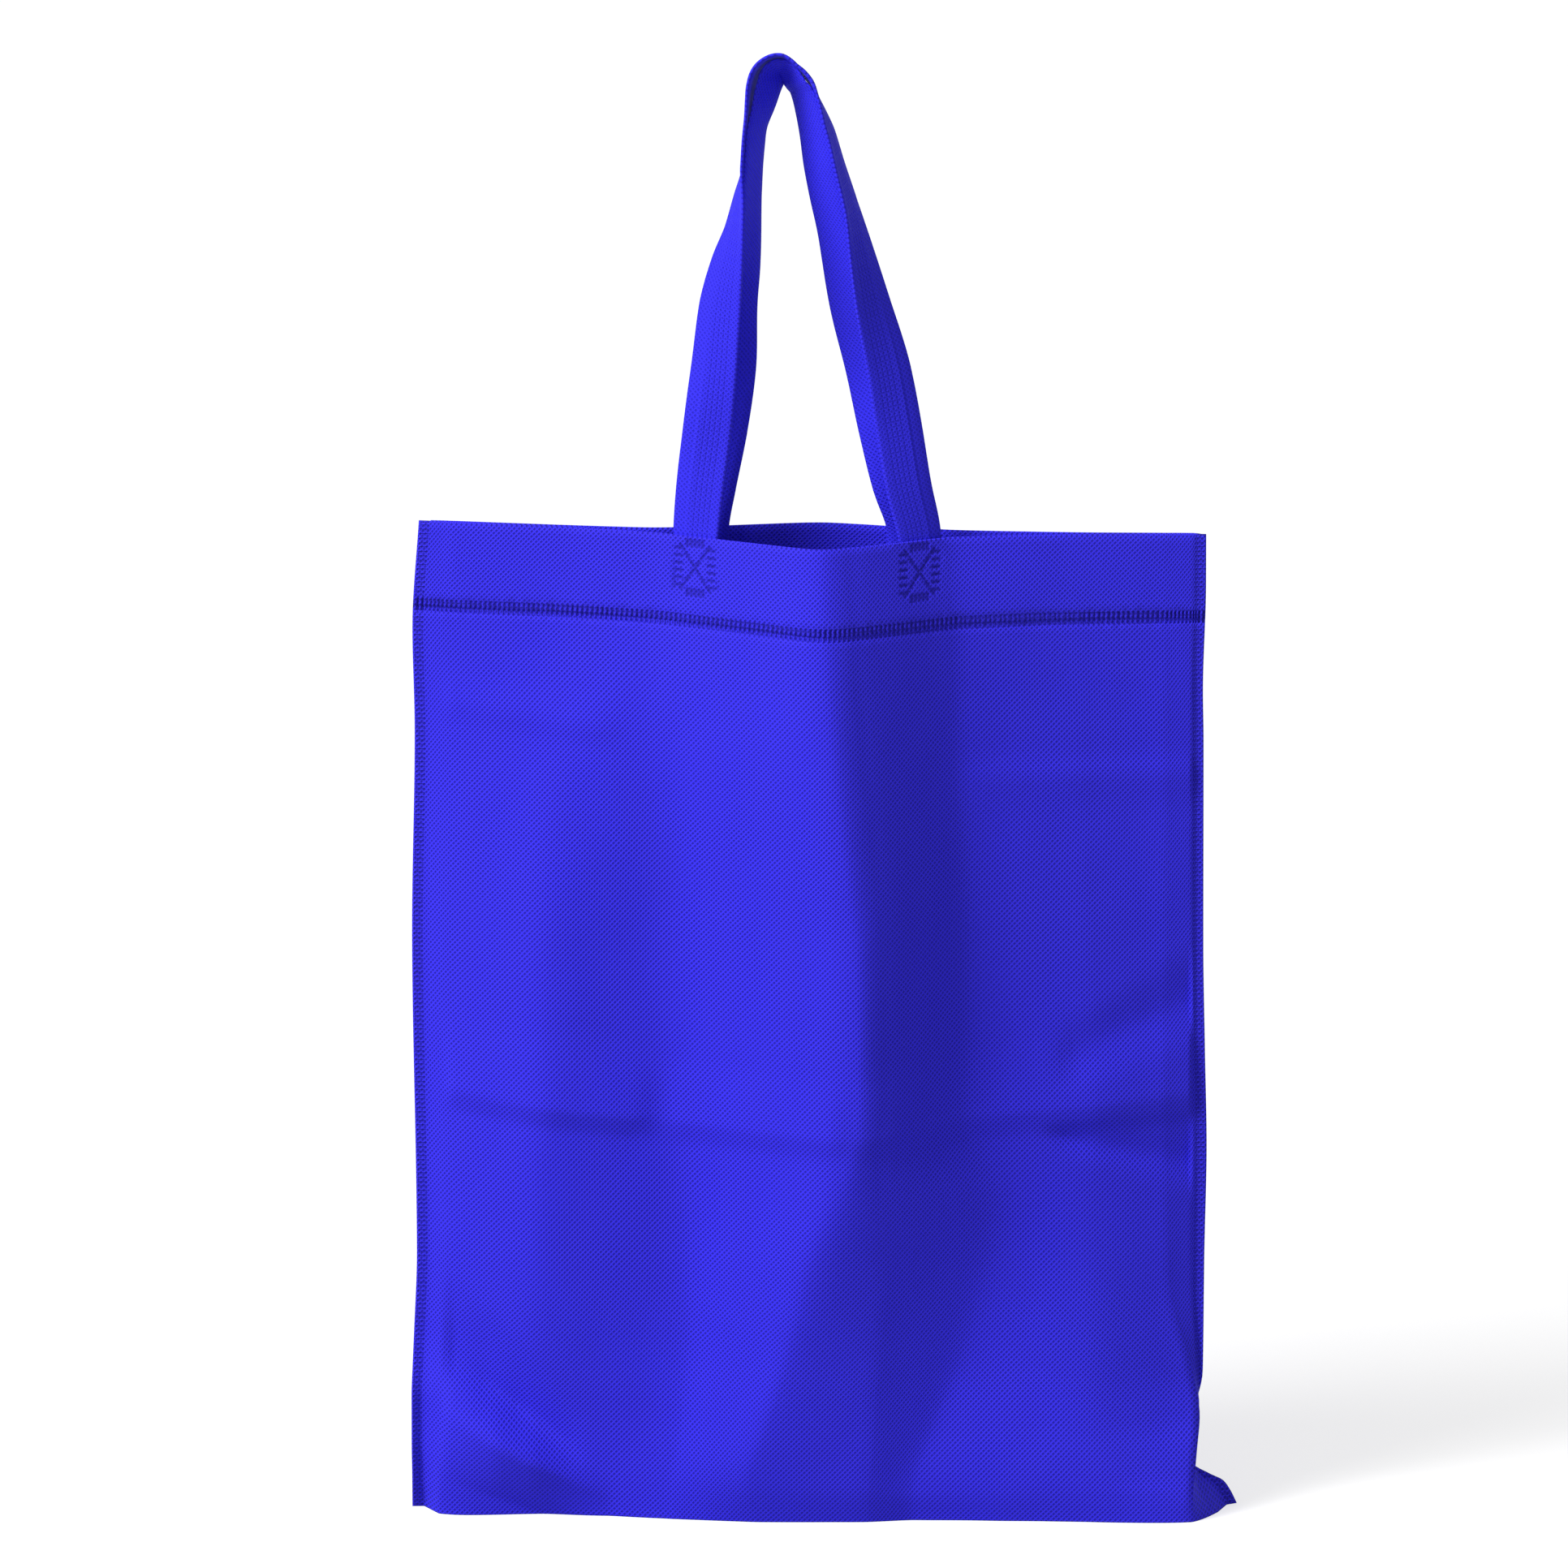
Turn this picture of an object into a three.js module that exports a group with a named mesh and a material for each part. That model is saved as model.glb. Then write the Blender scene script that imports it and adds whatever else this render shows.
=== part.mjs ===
// A non-woven carrier bag standing on its opened bottom, with its two loop handles drawn up together.
// Millimetres, +Z up, front towards -Y, origin on the floor below the middle of the bag.
import * as THREE from 'three';

// Body sizes
const rimHeight = 426;
const rimRise = 3;          // how much the rim's left end stands above its middle, and its right end below
const halfWidth = 167;
const sheet = 0.6;          // one layer of cloth
const hemHeight = 36;       // the turned-in hem, two layers thick
const hemStep = 1;          // height over which the hem's free edge adds its layer
const sideWeld = 5;         // width of the welded side seams
const insideGap = 1;        // least gap between the front and the back where the rims lie together
const weldCells = 1;        // cells across one side weld
const weldReach = 0.6;      // the most of the way to the next fold line that a weld may take
const foldSoftness = 0.25;  // what a column takes from each of its neighbours to round a fold

// Handle sizes
const strapWidth = 20.5;
const strapPly = 0.4;       // each of the three layers that the strip is folded into
const strapMargin = 5.7;    // from the strap's outer edge to the free edge of its top layer
const strapTuck = 32;       // length welded inside the hem
const frontSpread = 94;     // between the middles of the front handle's two ends
const backSpread = 86;      // the same of the back handle
const strapSeat = 0.45;     // clearance of the tucked ends to the hem
const strapStations = 80;

const clothBlue = 0x3a33e4;
const strapBlue = 0x342fdc;

// The body's fold lines from the left seam to the right one. All but the last say how many cells lie before
// the next line. Each gives keys: height as a share of the rim height, place across as a share of the half
// width, and how far the front panel stands forward and the back panel stands back of the seams, in
// millimetres.
const foldLines = {
  leftSeam: {
    cells: 1,
    keys: [[0, -1, 0, 0], [0.03, -1, 6, -6], [0.07, -1.001, 9, -9], [0.118, -1.001, 9, -9],
      [0.15, -0.998, 4, -4], [0.177, -0.995, 1, -1], [0.26, -0.987, 0, 0], [0.58, -0.997, 0, 0],
      [0.79, -0.989, 0, 0], [0.89, -0.994, 0, 0], [1, -0.977, 0, 0]],
  },
  leftShoulder: {
    cells: 4,
    keys: [[0, -0.92, 21, 17], [0.04, -0.92, 22, 15], [0.11, -0.91, 17, 10], [0.18, -0.9, 8, 7],
      [0.6, -0.9, 7, 4], [0.8, -0.9, 4, 2], [1, -0.9, 1.6, -0.6]],
  },
  leftPleat: {
    cells: 4,
    keys: [[0, -0.62, 11.5, 25], [0.04, -0.62, 14, 27], [0.11, -0.635, 17, 25], [0.18, -0.66, 20, 22],
      [0.28, -0.67, 22, 19], [0.42, -0.66, 22.5, 15], [0.59, -0.655, 21.5, 11], [0.7, -0.645, 18, 9],
      [0.79, -0.62, 14, 6], [0.91, -0.6, 8, -1], [1, -0.6, 6.7, -5]],
  },
  leftValley: {
    cells: 6,
    keys: [[0, -0.36, 20.5, 26], [0.04, -0.345, 21, 29], [0.11, -0.32, 18.5, 29], [0.18, -0.31, 16, 28],
      [0.28, -0.31, 15.5, 25], [0.42, -0.34, 16, 21], [0.59, -0.345, 17, 17], [0.79, -0.365, 20, 9],
      [0.91, -0.36, 17, 0], [1, -0.37, 14, -7]],
  },
  ridge: {
    cells: 2,
    keys: [[0, -0.12, 26, 26], [0.04, -0.147, 31, 30], [0.1, -0.1, 36, 32], [0.17, -0.045, 40, 32],
      [0.28, 0.02, 46, 31], [0.38, 0.096, 49, 30], [0.45, 0.12, 52, 29], [0.59, 0.114, 54, 25],
      [0.73, 0.072, 53, 20], [0.865, 0.039, 50, 15], [0.91, 0.03, 48, 12], [1, 0.021, 41, 8.5]],
  },
  branch: {
    cells: 4,
    keys: [[0, 0.145, 26, 26], [0.04, 0.153, 30.5, 30], [0.17, 0.174, 33, 31], [0.32, 0.19, 40, 30],
      [0.38, 0.18, 43.5, 29], [0.45, 0.195, 46, 28], [0.59, 0.195, 47, 24], [0.73, 0.16, 46, 19],
      [0.91, 0.12, 42, 11], [1, 0.105, 36, 7]],
  },
  darkEdge: {
    cells: 3,
    keys: [[0, 0.275, 22, 26], [0.03, 0.275, 24.5, 29], [0.1, 0.327, 22, 28], [0.165, 0.395, 18.5, 26],
      [0.24, 0.445, 16, 23], [0.325, 0.479, 14, 20], [0.38, 0.42, 15, 18], [0.42, 0.395, 15, 17],
      [0.59, 0.395, 16, 13], [0.79, 0.383, 17, 7], [0.91, 0.375, 17.5, 1], [1, 0.365, 12, -2]],
  },
  rightPlane: {
    cells: 3,
    keys: [[0, 0.7, 25.5, 25], [0.04, 0.7, 27, 26], [0.165, 0.7, 19, 18], [0.28, 0.705, 14, 13],
      [0.42, 0.72, 12, 9], [0.59, 0.705, 10, 6], [0.91, 0.69, 6, -1], [1, 0.69, 3.5, -2]],
  },
  rightCorner: {
    cells: 2,
    keys: [[0, 0.97, 28, 19], [0.015, 0.972, 27.5, 18], [0.03, 0.975, 26, 16], [0.042, 0.978, 23, 14],
      [0.07, 0.985, 17, 10], [0.1, 0.992, 9, 7], [0.14, 0.975, 5, 5], [0.235, 0.91, 5.5, 5],
      [0.42, 0.9, 4.4, 4], [0.59, 0.9, 3.7, 3], [1, 0.9, 1.2, 0]],
  },
  rightSlot: {
    cells: 1,
    keys: [[0, 1.03, 14, 12], [0.015, 1.006, 12, 11], [0.024, 0.991, 9, 10], [0.032, 0.982, 5, 9],
      [0.042, 0.977, 5, 8], [0.07, 0.985, 6, 6], [0.1, 0.99, 3.5, 4], [0.14, 0.985, 2.2, 3],
      [0.235, 0.967, 1.8, 2], [0.59, 0.967, 1.2, 1.2], [1, 0.967, 0.6, 0.6]],
  },
  rightSeam: {
    keys: [[0, 1.087, -5, 5], [0.014, 1.07, -4.5, 4.5], [0.024, 1.052, -4, 4], [0.031, 1.018, -3.5, 3.5],
      [0.042, 0.975, -3.5, 3.5], [0.07, 0.97, -3.5, 3.5], [0.1, 0.98, -2, 2], [0.14, 1.0, 0, 0],
      [0.26, 1.003, 0, 0], [0.37, 1.008, 0, 0], [0.47, 1.003, 0, 0], [0.58, 0.998, 0, 0],
      [0.79, 0.997, 0, 0], [0.84, 0.995, 0, 0], [0.95, 1.002, 0, 0], [1, 1.002, 0, 0]],
  },
};

// Creases pressed into the front panel: ends as shares of the half width and of the rim height, height in
// millimetres (minus for a valley), and how far the slope runs above and below the line at its two ends.
const creases = [
  { from: [-1, 0.434], to: [-0.35, 0.405], height: 2.6, above: [34, 30], below: [9, 9] },
  { from: [-0.38, 0.405], to: [0.12, 0.402], height: 2, above: [26, 26], below: [9, 9] },
  { from: [0.1, 0.402], to: [1, 0.428], height: 2.6, above: [26, 36], below: [9, 12] },
  { from: [-1, 0.822], to: [-0.46, 0.798], height: 1.2, above: [16, 14], below: [6, 6] },
  { from: [0.37, 0.76], to: [1, 0.756], height: 1.2, above: [8, 8], below: [14, 14] },
  { from: [-0.98, 0.118], to: [-0.6, 0.038], height: 8, above: [25, 20], below: [30, 10] },
  { from: [-0.98, 0.177], to: [-0.56, 0.065], height: -2.5, above: [20, 20], below: [10, 10] },
  { from: [0.62, 0.462], to: [1, 0.53], height: -2.4, above: [14, 22], below: [14, 20] },
  { from: [0.6, 0.392], to: [1.02, 0.352], height: -3.4, above: [5, 26], below: [5, 14] },
];
const creaseFade = 0.12;    // share of a crease's length over which its ends die out

// Row heights: shares of the wall below the hem, then shares of the hem itself
const wallRows = [0, 0.006, 0.015, 0.026, 0.036, 0.05, 0.07, 0.098, 0.13, 0.165, 0.205, 0.25, 0.295, 0.34,
  0.385, 0.42, 0.443, 0.463, 0.49, 0.53, 0.575, 0.625, 0.675, 0.725, 0.775, 0.82, 0.86, 0.9, 0.95, 1];
const hemRows = [0, 0.33, 0.67];

// The route of each handle from its left leg over the top to its right leg: across, back, height, and the
// turn of the strap's outer edge towards the back, in degrees. Heights are above the rim.
const frontRoute = [
  [-45.2, -18.5, 21, 14], [-42.2, -16.5, 45, 6], [-39.2, -14.5, 72, 20],
  [-36.7, -13, 98, 32], [-33.8, -12.5, 116, 51], [-31, -12, 129, 68], [-28.8, -12, 144, 80],
  [-27.1, -11.5, 158, 89], [-25.8, -11, 171, 94], [-24.5, -11, 181, 96], [-23.8, -11, 188, 97],
  [-22.9, -11, 193.5, 97], [-20.9, -11, 199, 98], [-18.2, -11, 202, 99], [-14.8, -11, 204, 100],
  [-11.4, -11, 204.5, 100], [-8.6, -11, 203, 100], [-6.4, -11, 200.9, 98], [-3.3, -11, 198.6, 93],
  [0.1, -11, 195, 87], [2.7, -11, 190.4, 85], [5.3, -11, 184, 84], [7.6, -11, 177.5, 83],
  [9.9, -11, 171, 83], [13.6, -11.3, 157, 80], [18.3, -12, 140, 75], [22.9, -12.5, 119, 60],
  [27.6, -13.5, 98, 45], [34, -15, 71.5, 28], [38.6, -16, 44.5, 20], [42.5, -17.5, 21, 22],
];
const backRoute = [
  [-39.8, -2.6, 18, -14], [-34.8, 0, 41, -20], [-30.4, 3, 67, -30], [-28.7, 4, 93.5, -42],
  [-25.9, 2.5, 112, -55], [-23.8, -2, 141, -66], [-22.2, -5, 155.3, -70], [-21.3, -7, 164.4, -69],
  [-20.6, -8, 173, -66], [-18.6, -8, 182.4, -60], [-16.6, -7.4, 190, -56], [-15.3, -7.1, 193.1, -54],
  [-14.2, -6.9, 194.9, -53], [-12.9, -6.7, 195.9, -52], [-11.5, -6.7, 196.2, -52],
  [-10.1, -6.9, 195.8, -53.5], [-8.6, -7.3, 194.7, -57], [-7.1, -7.8, 192.9, -60],
  [-5.5, -8.1, 190.6, -62], [-3.7, -8.3, 187.6, -61], [-2.2, -8.3, 184.1, -59],
  [1.4, -8.2, 170.5, -53], [4.6, -7.8, 156.5, -51],
  [8, -7, 142.5, -47], [11.4, -5, 127.5, -45], [17.4, 1, 94, -38], [24.6, 3, 67, -30], [31, 0, 41, -20],
  [37, -1, 18, -14],
];

const lerp = THREE.MathUtils.lerp;
const clamp = THREE.MathUtils.clamp;

// Reads one column of a list of keys at a height, on a smooth curve through the keys
function along(keys, height, column) {
  const last = keys.length - 1;
  if (height <= keys[0][0]) return keys[0][column];
  if (height >= keys[last][0]) return keys[last][column];
  const i = keys.findIndex((key) => key[0] > height) - 1;
  const slope = (a, b) => (keys[b][column] - keys[a][column]) / (keys[b][0] - keys[a][0]);
  const span = keys[i + 1][0] - keys[i][0];
  const here = slope(i, i + 1);
  const before = i > 0 ? limitedSlope(slope(i - 1, i), here) : here;
  const after = i + 1 < last ? limitedSlope(here, slope(i + 1, i + 2)) : here;
  const t = (height - keys[i][0]) / span;
  const rise = t * t * (3 - 2 * t);
  return keys[i][column] + (keys[i + 1][column] - keys[i][column]) * rise
    + span * (before * t * (1 - t) ** 2 - after * t * t * (1 - t));
}

function limitedSlope(a, b) {
  return a * b > 0 ? (2 * a * b) / (a + b) : 0;
}

// A pressed crease: a soft tent along a line, dying out at its ends
function creaseLift({ from, to, height, above, below }, across, up) {
  const t = (across - from[0]) / (to[0] - from[0]);
  if (t <= 0 || t >= 1) return 0;
  const off = (up - lerp(from[1], to[1], t)) * rimHeight;
  const reach = off > 0 ? lerp(above[0], above[1], t) : lerp(below[0], below[1], t);
  const atSeam = (end) => Math.abs(end) >= 1;
  const fadeIn = atSeam(from[0]) ? 1 : clamp(t / creaseFade, 0, 1);
  const fadeOut = atSeam(to[0]) ? 1 : clamp((1 - t) / creaseFade, 0, 1);
  return height * Math.max(0, 1 - Math.abs(off) / reach) * fadeIn * fadeOut;
}

function layersAt(height) {
  const hemEdge = rimHeight - hemHeight;
  return sheet * (1 + clamp((height - hemEdge + hemStep) / hemStep, 0, 1));
}

// The points where a level cut meets the fold lines, as across, forward and back
function foldPoints(height) {
  const up = height / rimHeight;
  const points = Object.values(foldLines).map((line) => ({
    across: along(line.keys, up, 1) * halfWidth,
    forward: along(line.keys, up, 2),
    back: along(line.keys, up, 3),
  }));
  const inner = [weldPoint(points[0], points[1]), weldPoint(points.at(-1), points.at(-2))];
  return [points[0], inner[0], ...points.slice(1, -1), inner[1], points.at(-1)];
}

// Where the side weld ends: its width in from the seam, on the way to the next fold line
function weldPoint(seam, next) {
  const middle = (next.back - next.forward) / 2;
  const run = Math.hypot(next.across - seam.across, middle - seam.back);
  const share = Math.min(weldReach, sideWeld / run);
  const back = lerp(seam.back, middle, share);
  return { across: lerp(seam.across, next.across, share), forward: -back, back };
}

// One level cut through the body: the columns from seam to seam
function levelCut(height) {
  const points = foldPoints(height);
  const lines = Object.values(foldLines);
  const cells = [weldCells, ...lines.slice(0, -1).map((line) => line.cells), weldCells];
  const raw = [];
  points.slice(0, -1).forEach((point, i) => {
    const count = cells[i];
    for (let k = 0; k < count; k += 1) {
      const t = k / count;
      raw.push({
        across: lerp(point.across, points[i + 1].across, t),
        forward: lerp(point.forward, points[i + 1].forward, t),
        back: lerp(point.back, points[i + 1].back, t),
      });
    }
  });
  raw.push(points.at(-1));
  return raw.map((column, i) => roundedColumn(raw, i, height));
}

// Cloth rounds its folds: each column takes a little from its two neighbours, away from the welds
function roundedColumn(raw, i, height) {
  const own = raw[i];
  if (i < 2 || i > raw.length - 3) return own;
  const beside = (key) => (raw[i - 1][key] + raw[i + 1][key]) / 2;
  const soften = (key) => lerp(own[key], beside(key), 2 * foldSoftness);
  const across = own.across;
  const lift = creases.reduce((sum, crease) => sum + creaseLift(crease, across / halfWidth,
    height / rimHeight), 0);
  const forward = soften('forward') + lift;
  return { across, forward, back: Math.max(soften('back'), insideGap - forward) };
}

// Collects shared corners and triangles into one closed shell
class Shell {
  constructor() {
    this.corners = [];
    this.faces = [];
  }

  corner(point) {
    this.corners.push(point.x, point.y, point.z);
    return this.corners.length / 3 - 1;
  }

  triangle(a, b, c) {
    this.faces.push(a, b, c);
  }

  quad(a, b, c, d) {
    this.triangle(a, b, c);
    this.triangle(a, c, d);
  }

  // Joins two rows of corners, the first row seen on the left when looking along it from outside
  strip(first, second) {
    for (let i = 0; i + 1 < first.length; i += 1) {
      this.quad(first[i], second[i], second[i + 1], first[i + 1]);
    }
  }

  geometry() {
    const geometry = new THREE.BufferGeometry();
    geometry.setAttribute('position', new THREE.Float32BufferAttribute(this.corners, 3));
    geometry.setIndex(this.faces);
    geometry.computeVertexNormals();
    return geometry;
  }
}

function rowHeights() {
  const hemEdge = rimHeight - hemHeight;
  const wall = wallRows.map((share) => share * (hemEdge - hemStep));
  const hem = hemRows.map((share) => hemEdge + share * hemHeight);
  return [...wall, ...hem, rimHeight - sheet];
}

function tilted(across, height) {
  return height - (height / rimHeight) * (across / halfWidth) * rimRise;
}

// The outer faces of the front and back panels, as rows of points
function outerFaces() {
  const rows = rowHeights().map((height) => ({ height, cut: levelCut(height) }));
  const face = (place) => rows.map(({ height, cut }) => cut.map((column) => new THREE.Vector3(
    column.across, place(column, layersAt(height)), tilted(column.across, height))));
  return {
    front: face((column, layers) => -column.forward - layers),
    back: face((column, layers) => column.back + layers),
    middle: face((column) => (column.back - column.forward) / 2),
  };
}

// The inner face lies one or two layers in, square to the outer face
function innerFace(outer, middle, heights, inward) {
  return outer.map((row, r) => row.map((point, c) => {
    if (c <= 1 || c >= row.length - 2) return middle[r][c].clone().setZ(Math.max(sheet, middle[r][c].z));
    const above = outer[Math.min(r + 1, outer.length - 1)][c];
    const below = outer[Math.max(r - 1, 0)][c];
    const alongRow = new THREE.Vector3().subVectors(row[c + 1], row[c - 1]);
    const upColumn = new THREE.Vector3().subVectors(above, below);
    const normal = alongRow.cross(upColumn).normalize().multiplyScalar(inward);
    if (r === outer.length - 1) normal.setZ(0);
    const inner = point.clone().addScaledVector(normal, layersAt(heights[r]));
    return inner.setZ(Math.max(sheet, r === 0 ? sheet : inner.z));
  }));
}

function bodyShape() {
  const outer = outerFaces();
  const heights = rowHeights();
  return {
    front: outer.front,
    back: outer.back,
    innerFront: innerFace(outer.front, outer.middle, heights, -1),
    innerBack: innerFace(outer.back, outer.middle, heights, 1),
  };
}

function bodyGeometry(shape) {
  const shell = new Shell();
  const add = (face) => face.map((row) => row.map((point) => shell.corner(point)));
  const front = add(shape.front);
  const back = add(shape.back);
  const columns = front[0].length;
  const inside = (row) => row.slice(1, columns - 1);
  const innerFront = shape.innerFront.map((row) => inside(row).map((point) => shell.corner(point)));
  const innerBack = shape.innerBack.map((row, r) => inside(row).map((point, c, all) => (
    c === 0 || c === all.length - 1 ? innerFront[r][c] : shell.corner(point))));
  const top = front.length - 1;
  const crown = (outerRow, innerRow) => inside(outerRow).map((point, c) => shell.corner(
    new THREE.Vector3().lerpVectors(point, inside(innerRow)[c], 0.5).setZ(point.z + sheet)));
  const frontCrown = crown(shape.front[top], shape.innerFront[top]);
  const backCrown = crown(shape.back[top], shape.innerBack[top]);

  for (let r = 0; r < top; r += 1) {
    shell.strip(front[r + 1], front[r]);
    shell.strip(back[r], back[r + 1]);
    shell.strip(innerFront[r], innerFront[r + 1]);
    shell.strip(innerBack[r + 1], innerBack[r]);
    shell.quad(front[r][0], front[r + 1][0], back[r + 1][0], back[r][0]);
    shell.quad(back[r].at(-1), back[r + 1].at(-1), front[r + 1].at(-1), front[r].at(-1));
  }
  shell.strip(front[0], back[0]);
  shell.strip(innerBack[0], innerFront[0]);
  shell.strip(frontCrown, inside(front[top]));
  shell.strip(innerFront[top], frontCrown);
  shell.strip(backCrown, innerBack[top]);
  shell.strip(inside(back[top]), backCrown);
  closeWeldTop(shell, front[top], back[top], innerFront[top][0], frontCrown[0], backCrown[0], true);
  closeWeldTop(shell, front[top], back[top], innerFront[top].at(-1), frontCrown.at(-1),
    backCrown.at(-1), false);
  return shell.geometry();
}

// The top of a side weld, where all the layers are pressed into one
function closeWeldTop(shell, front, back, inner, frontCrown, backCrown, left) {
  const end = left ? 0 : front.length - 1;
  const next = left ? 1 : front.length - 2;
  const fan = [front[next], frontCrown, inner, backCrown, back[next], back[end]];
  for (let i = 0; i + 1 < fan.length; i += 1) {
    if (left) shell.triangle(front[end], fan[i], fan[i + 1]);
    else shell.triangle(front[end], fan[i + 1], fan[i]);
  }
}

// The point of a face at a place across and a height
function onFace(face, across, height) {
  const at = face.map((row) => {
    const c = row.findIndex((point) => point.x > across);
    const t = (across - row[c - 1].x) / (row[c].x - row[c - 1].x);
    return new THREE.Vector3().lerpVectors(row[c - 1], row[c], t);
  });
  const higher = at.findIndex((point) => point.z > height);
  const r = higher < 1 ? at.length - 1 : higher;
  const t = (height - at[r - 1].z) / (at[r].z - at[r - 1].z);
  return new THREE.Vector3().lerpVectors(at[r - 1], at[r], t);
}

// The tucked end of a handle, flat against the inside of the hem; inward is +1 behind the front panel
function tuckedPoint(face, across, depth, inward) {
  const height = rimHeight - depth;
  const middle = onFace(face, across, height);
  const left = onFace(face, across - strapWidth / 2, height);
  const right = onFace(face, across + strapWidth / 2, height);
  const slope = (right.y - left.y) / (right.x - left.x);
  const reach = (strapThickness() / 2 + strapSeat) * Math.hypot(1, slope);
  const chord = (left.y + right.y) / 2;
  const y = inward * Math.max(inward * middle.y, inward * chord) + inward * reach;
  const turn = THREE.MathUtils.radToDeg(Math.atan(slope)) * Math.sign(across);
  return { place: new THREE.Vector3(across, y, middle.z), turn };
}

function strapThickness() {
  return 3 * strapPly;
}

// The strap's section: outer edge to inner edge, with its top layer's free edge as a step
function strapSection() {
  const half = strapWidth / 2;
  const low = -strapThickness() / 2;
  const high = -low;
  const edge = strapPly / 2;
  const step = half - strapMargin;
  return [
    [half, low + edge], [half, high - strapPly - edge], [half - edge, high - strapPly],
    [step, high - strapPly], [step - edge, high], [-half + edge, high], [-half, high - edge],
    [-half, low + edge], [-half + edge, low], [half - edge, low],
  ];
}

// A handle swept along its route, its outer face away from the bag's inside
function handleGeometry(route, spread, face, inward) {
  const tuck = (side, depth) => tuckedPoint(face, (side * spread) / 2, depth, inward);
  const free = route.map(([across, back, height, turn]) => ({
    place: new THREE.Vector3(across, back, rimHeight + height),
    turn,
  }));
  const stations = [tuck(-1, strapTuck), tuck(-1, strapTuck / 2), tuck(-1, 0), ...free,
    tuck(1, 0), tuck(1, strapTuck / 2), tuck(1, strapTuck)];
  const path = new THREE.CatmullRomCurve3(stations.map((station) => station.place));
  const turnPoints = stations.map((station) => new THREE.Vector3(station.turn, 0, 0));
  const turns = new THREE.CatmullRomCurve3(turnPoints);
  const shell = new Shell();
  const section = strapSection();
  const rings = [];
  for (let i = 0; i <= strapStations; i += 1) {
    const t = i / strapStations;
    rings.push(strapRing(shell, section, path, turns, t, inward));
  }
  for (let i = 0; i < strapStations; i += 1) {
    closedStrip(shell, rings[i], rings[i + 1], inward < 0);
  }
  capRing(shell, rings[0], inward < 0);
  capRing(shell, rings.at(-1), inward > 0);
  return shell.geometry();
}

function strapRing(shell, section, path, turns, t, inward) {
  const centre = path.getPoint(t);
  const tangent = path.getTangent(t);
  const outward = tangent.clone().cross(new THREE.Vector3(0, 1, 0)).normalize();
  const backward = outward.clone().cross(tangent).normalize();
  const turn = THREE.MathUtils.degToRad(turns.getPoint(t).x);
  const width = outward.multiplyScalar(Math.cos(turn)).addScaledVector(backward, Math.sin(turn));
  const normal = tangent.clone().cross(width).multiplyScalar(inward);
  return section.map(([across, out]) => shell.corner(
    centre.clone().addScaledVector(width, across).addScaledVector(normal, out)));
}

function closedStrip(shell, first, second, flip) {
  const a = [...first, first[0]];
  const b = [...second, second[0]];
  if (flip) shell.strip(a, b);
  else shell.strip(b, a);
}

function capRing(shell, ring, flip) {
  for (let i = 1; i + 1 < ring.length; i += 1) {
    if (flip) shell.triangle(ring[0], ring[i], ring[i + 1]);
    else shell.triangle(ring[0], ring[i + 1], ring[i]);
  }
}

function cloth(colour) {
  return new THREE.MeshStandardMaterial({ color: colour, roughness: 0.75, metalness: 0 });
}

function named(name, geometry, colour) {
  const mesh = new THREE.Mesh(geometry, cloth(colour));
  mesh.name = name;
  return mesh;
}

const shape = bodyShape();
const bag = new THREE.Group();
bag.add(named('bag_body', bodyGeometry(shape), clothBlue));
const frontStrip = handleGeometry(frontRoute, frontSpread, shape.innerFront, 1);
const backStrip = handleGeometry(backRoute, backSpread, shape.innerBack, -1);
bag.add(named('front_handle', frontStrip, strapBlue));
bag.add(named('back_handle', backStrip, strapBlue));

export default bag;
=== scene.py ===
"""A blue non-woven carrier bag, standing open, with its two loop handles drawn up to one point.
Metres, +Z up, front towards -Y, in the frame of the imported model."""
import math

import bpy
import numpy as np
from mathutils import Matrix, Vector, noise


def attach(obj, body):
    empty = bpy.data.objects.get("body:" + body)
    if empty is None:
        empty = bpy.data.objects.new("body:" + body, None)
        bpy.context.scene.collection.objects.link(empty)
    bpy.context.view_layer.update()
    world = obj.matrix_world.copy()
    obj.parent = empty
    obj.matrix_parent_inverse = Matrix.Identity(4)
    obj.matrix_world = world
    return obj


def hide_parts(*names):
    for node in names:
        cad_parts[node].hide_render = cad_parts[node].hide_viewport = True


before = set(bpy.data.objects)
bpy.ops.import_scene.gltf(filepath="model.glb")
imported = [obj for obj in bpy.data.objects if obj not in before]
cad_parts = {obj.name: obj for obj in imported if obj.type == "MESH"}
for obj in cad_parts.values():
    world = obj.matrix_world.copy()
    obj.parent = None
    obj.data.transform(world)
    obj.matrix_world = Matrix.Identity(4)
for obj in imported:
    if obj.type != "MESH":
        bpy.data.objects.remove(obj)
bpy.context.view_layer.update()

MM = 0.001

# Body sizes, in millimetres
RIM_HEIGHT = 426
RIM_RISE = 3
HALF_WIDTH = 167
SHEET = 0.6
HEM_HEIGHT = 36
HEM_STEP = 1
SIDE_WELD = 5
WELD_REACH = 0.6  # the most that a side weld takes of the way to the next fold line
INSIDE_GAP = 1

# Handle sizes, in millimetres
STRAP_WIDTH = 20.5
STRAP_PLY = 0.4
STRAP_MARGIN = 5.7
STRAP_TUCK = 32
FRONT_SPREAD = 94
BACK_SPREAD = 86
STRAP_SEAT = 0.45

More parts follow.
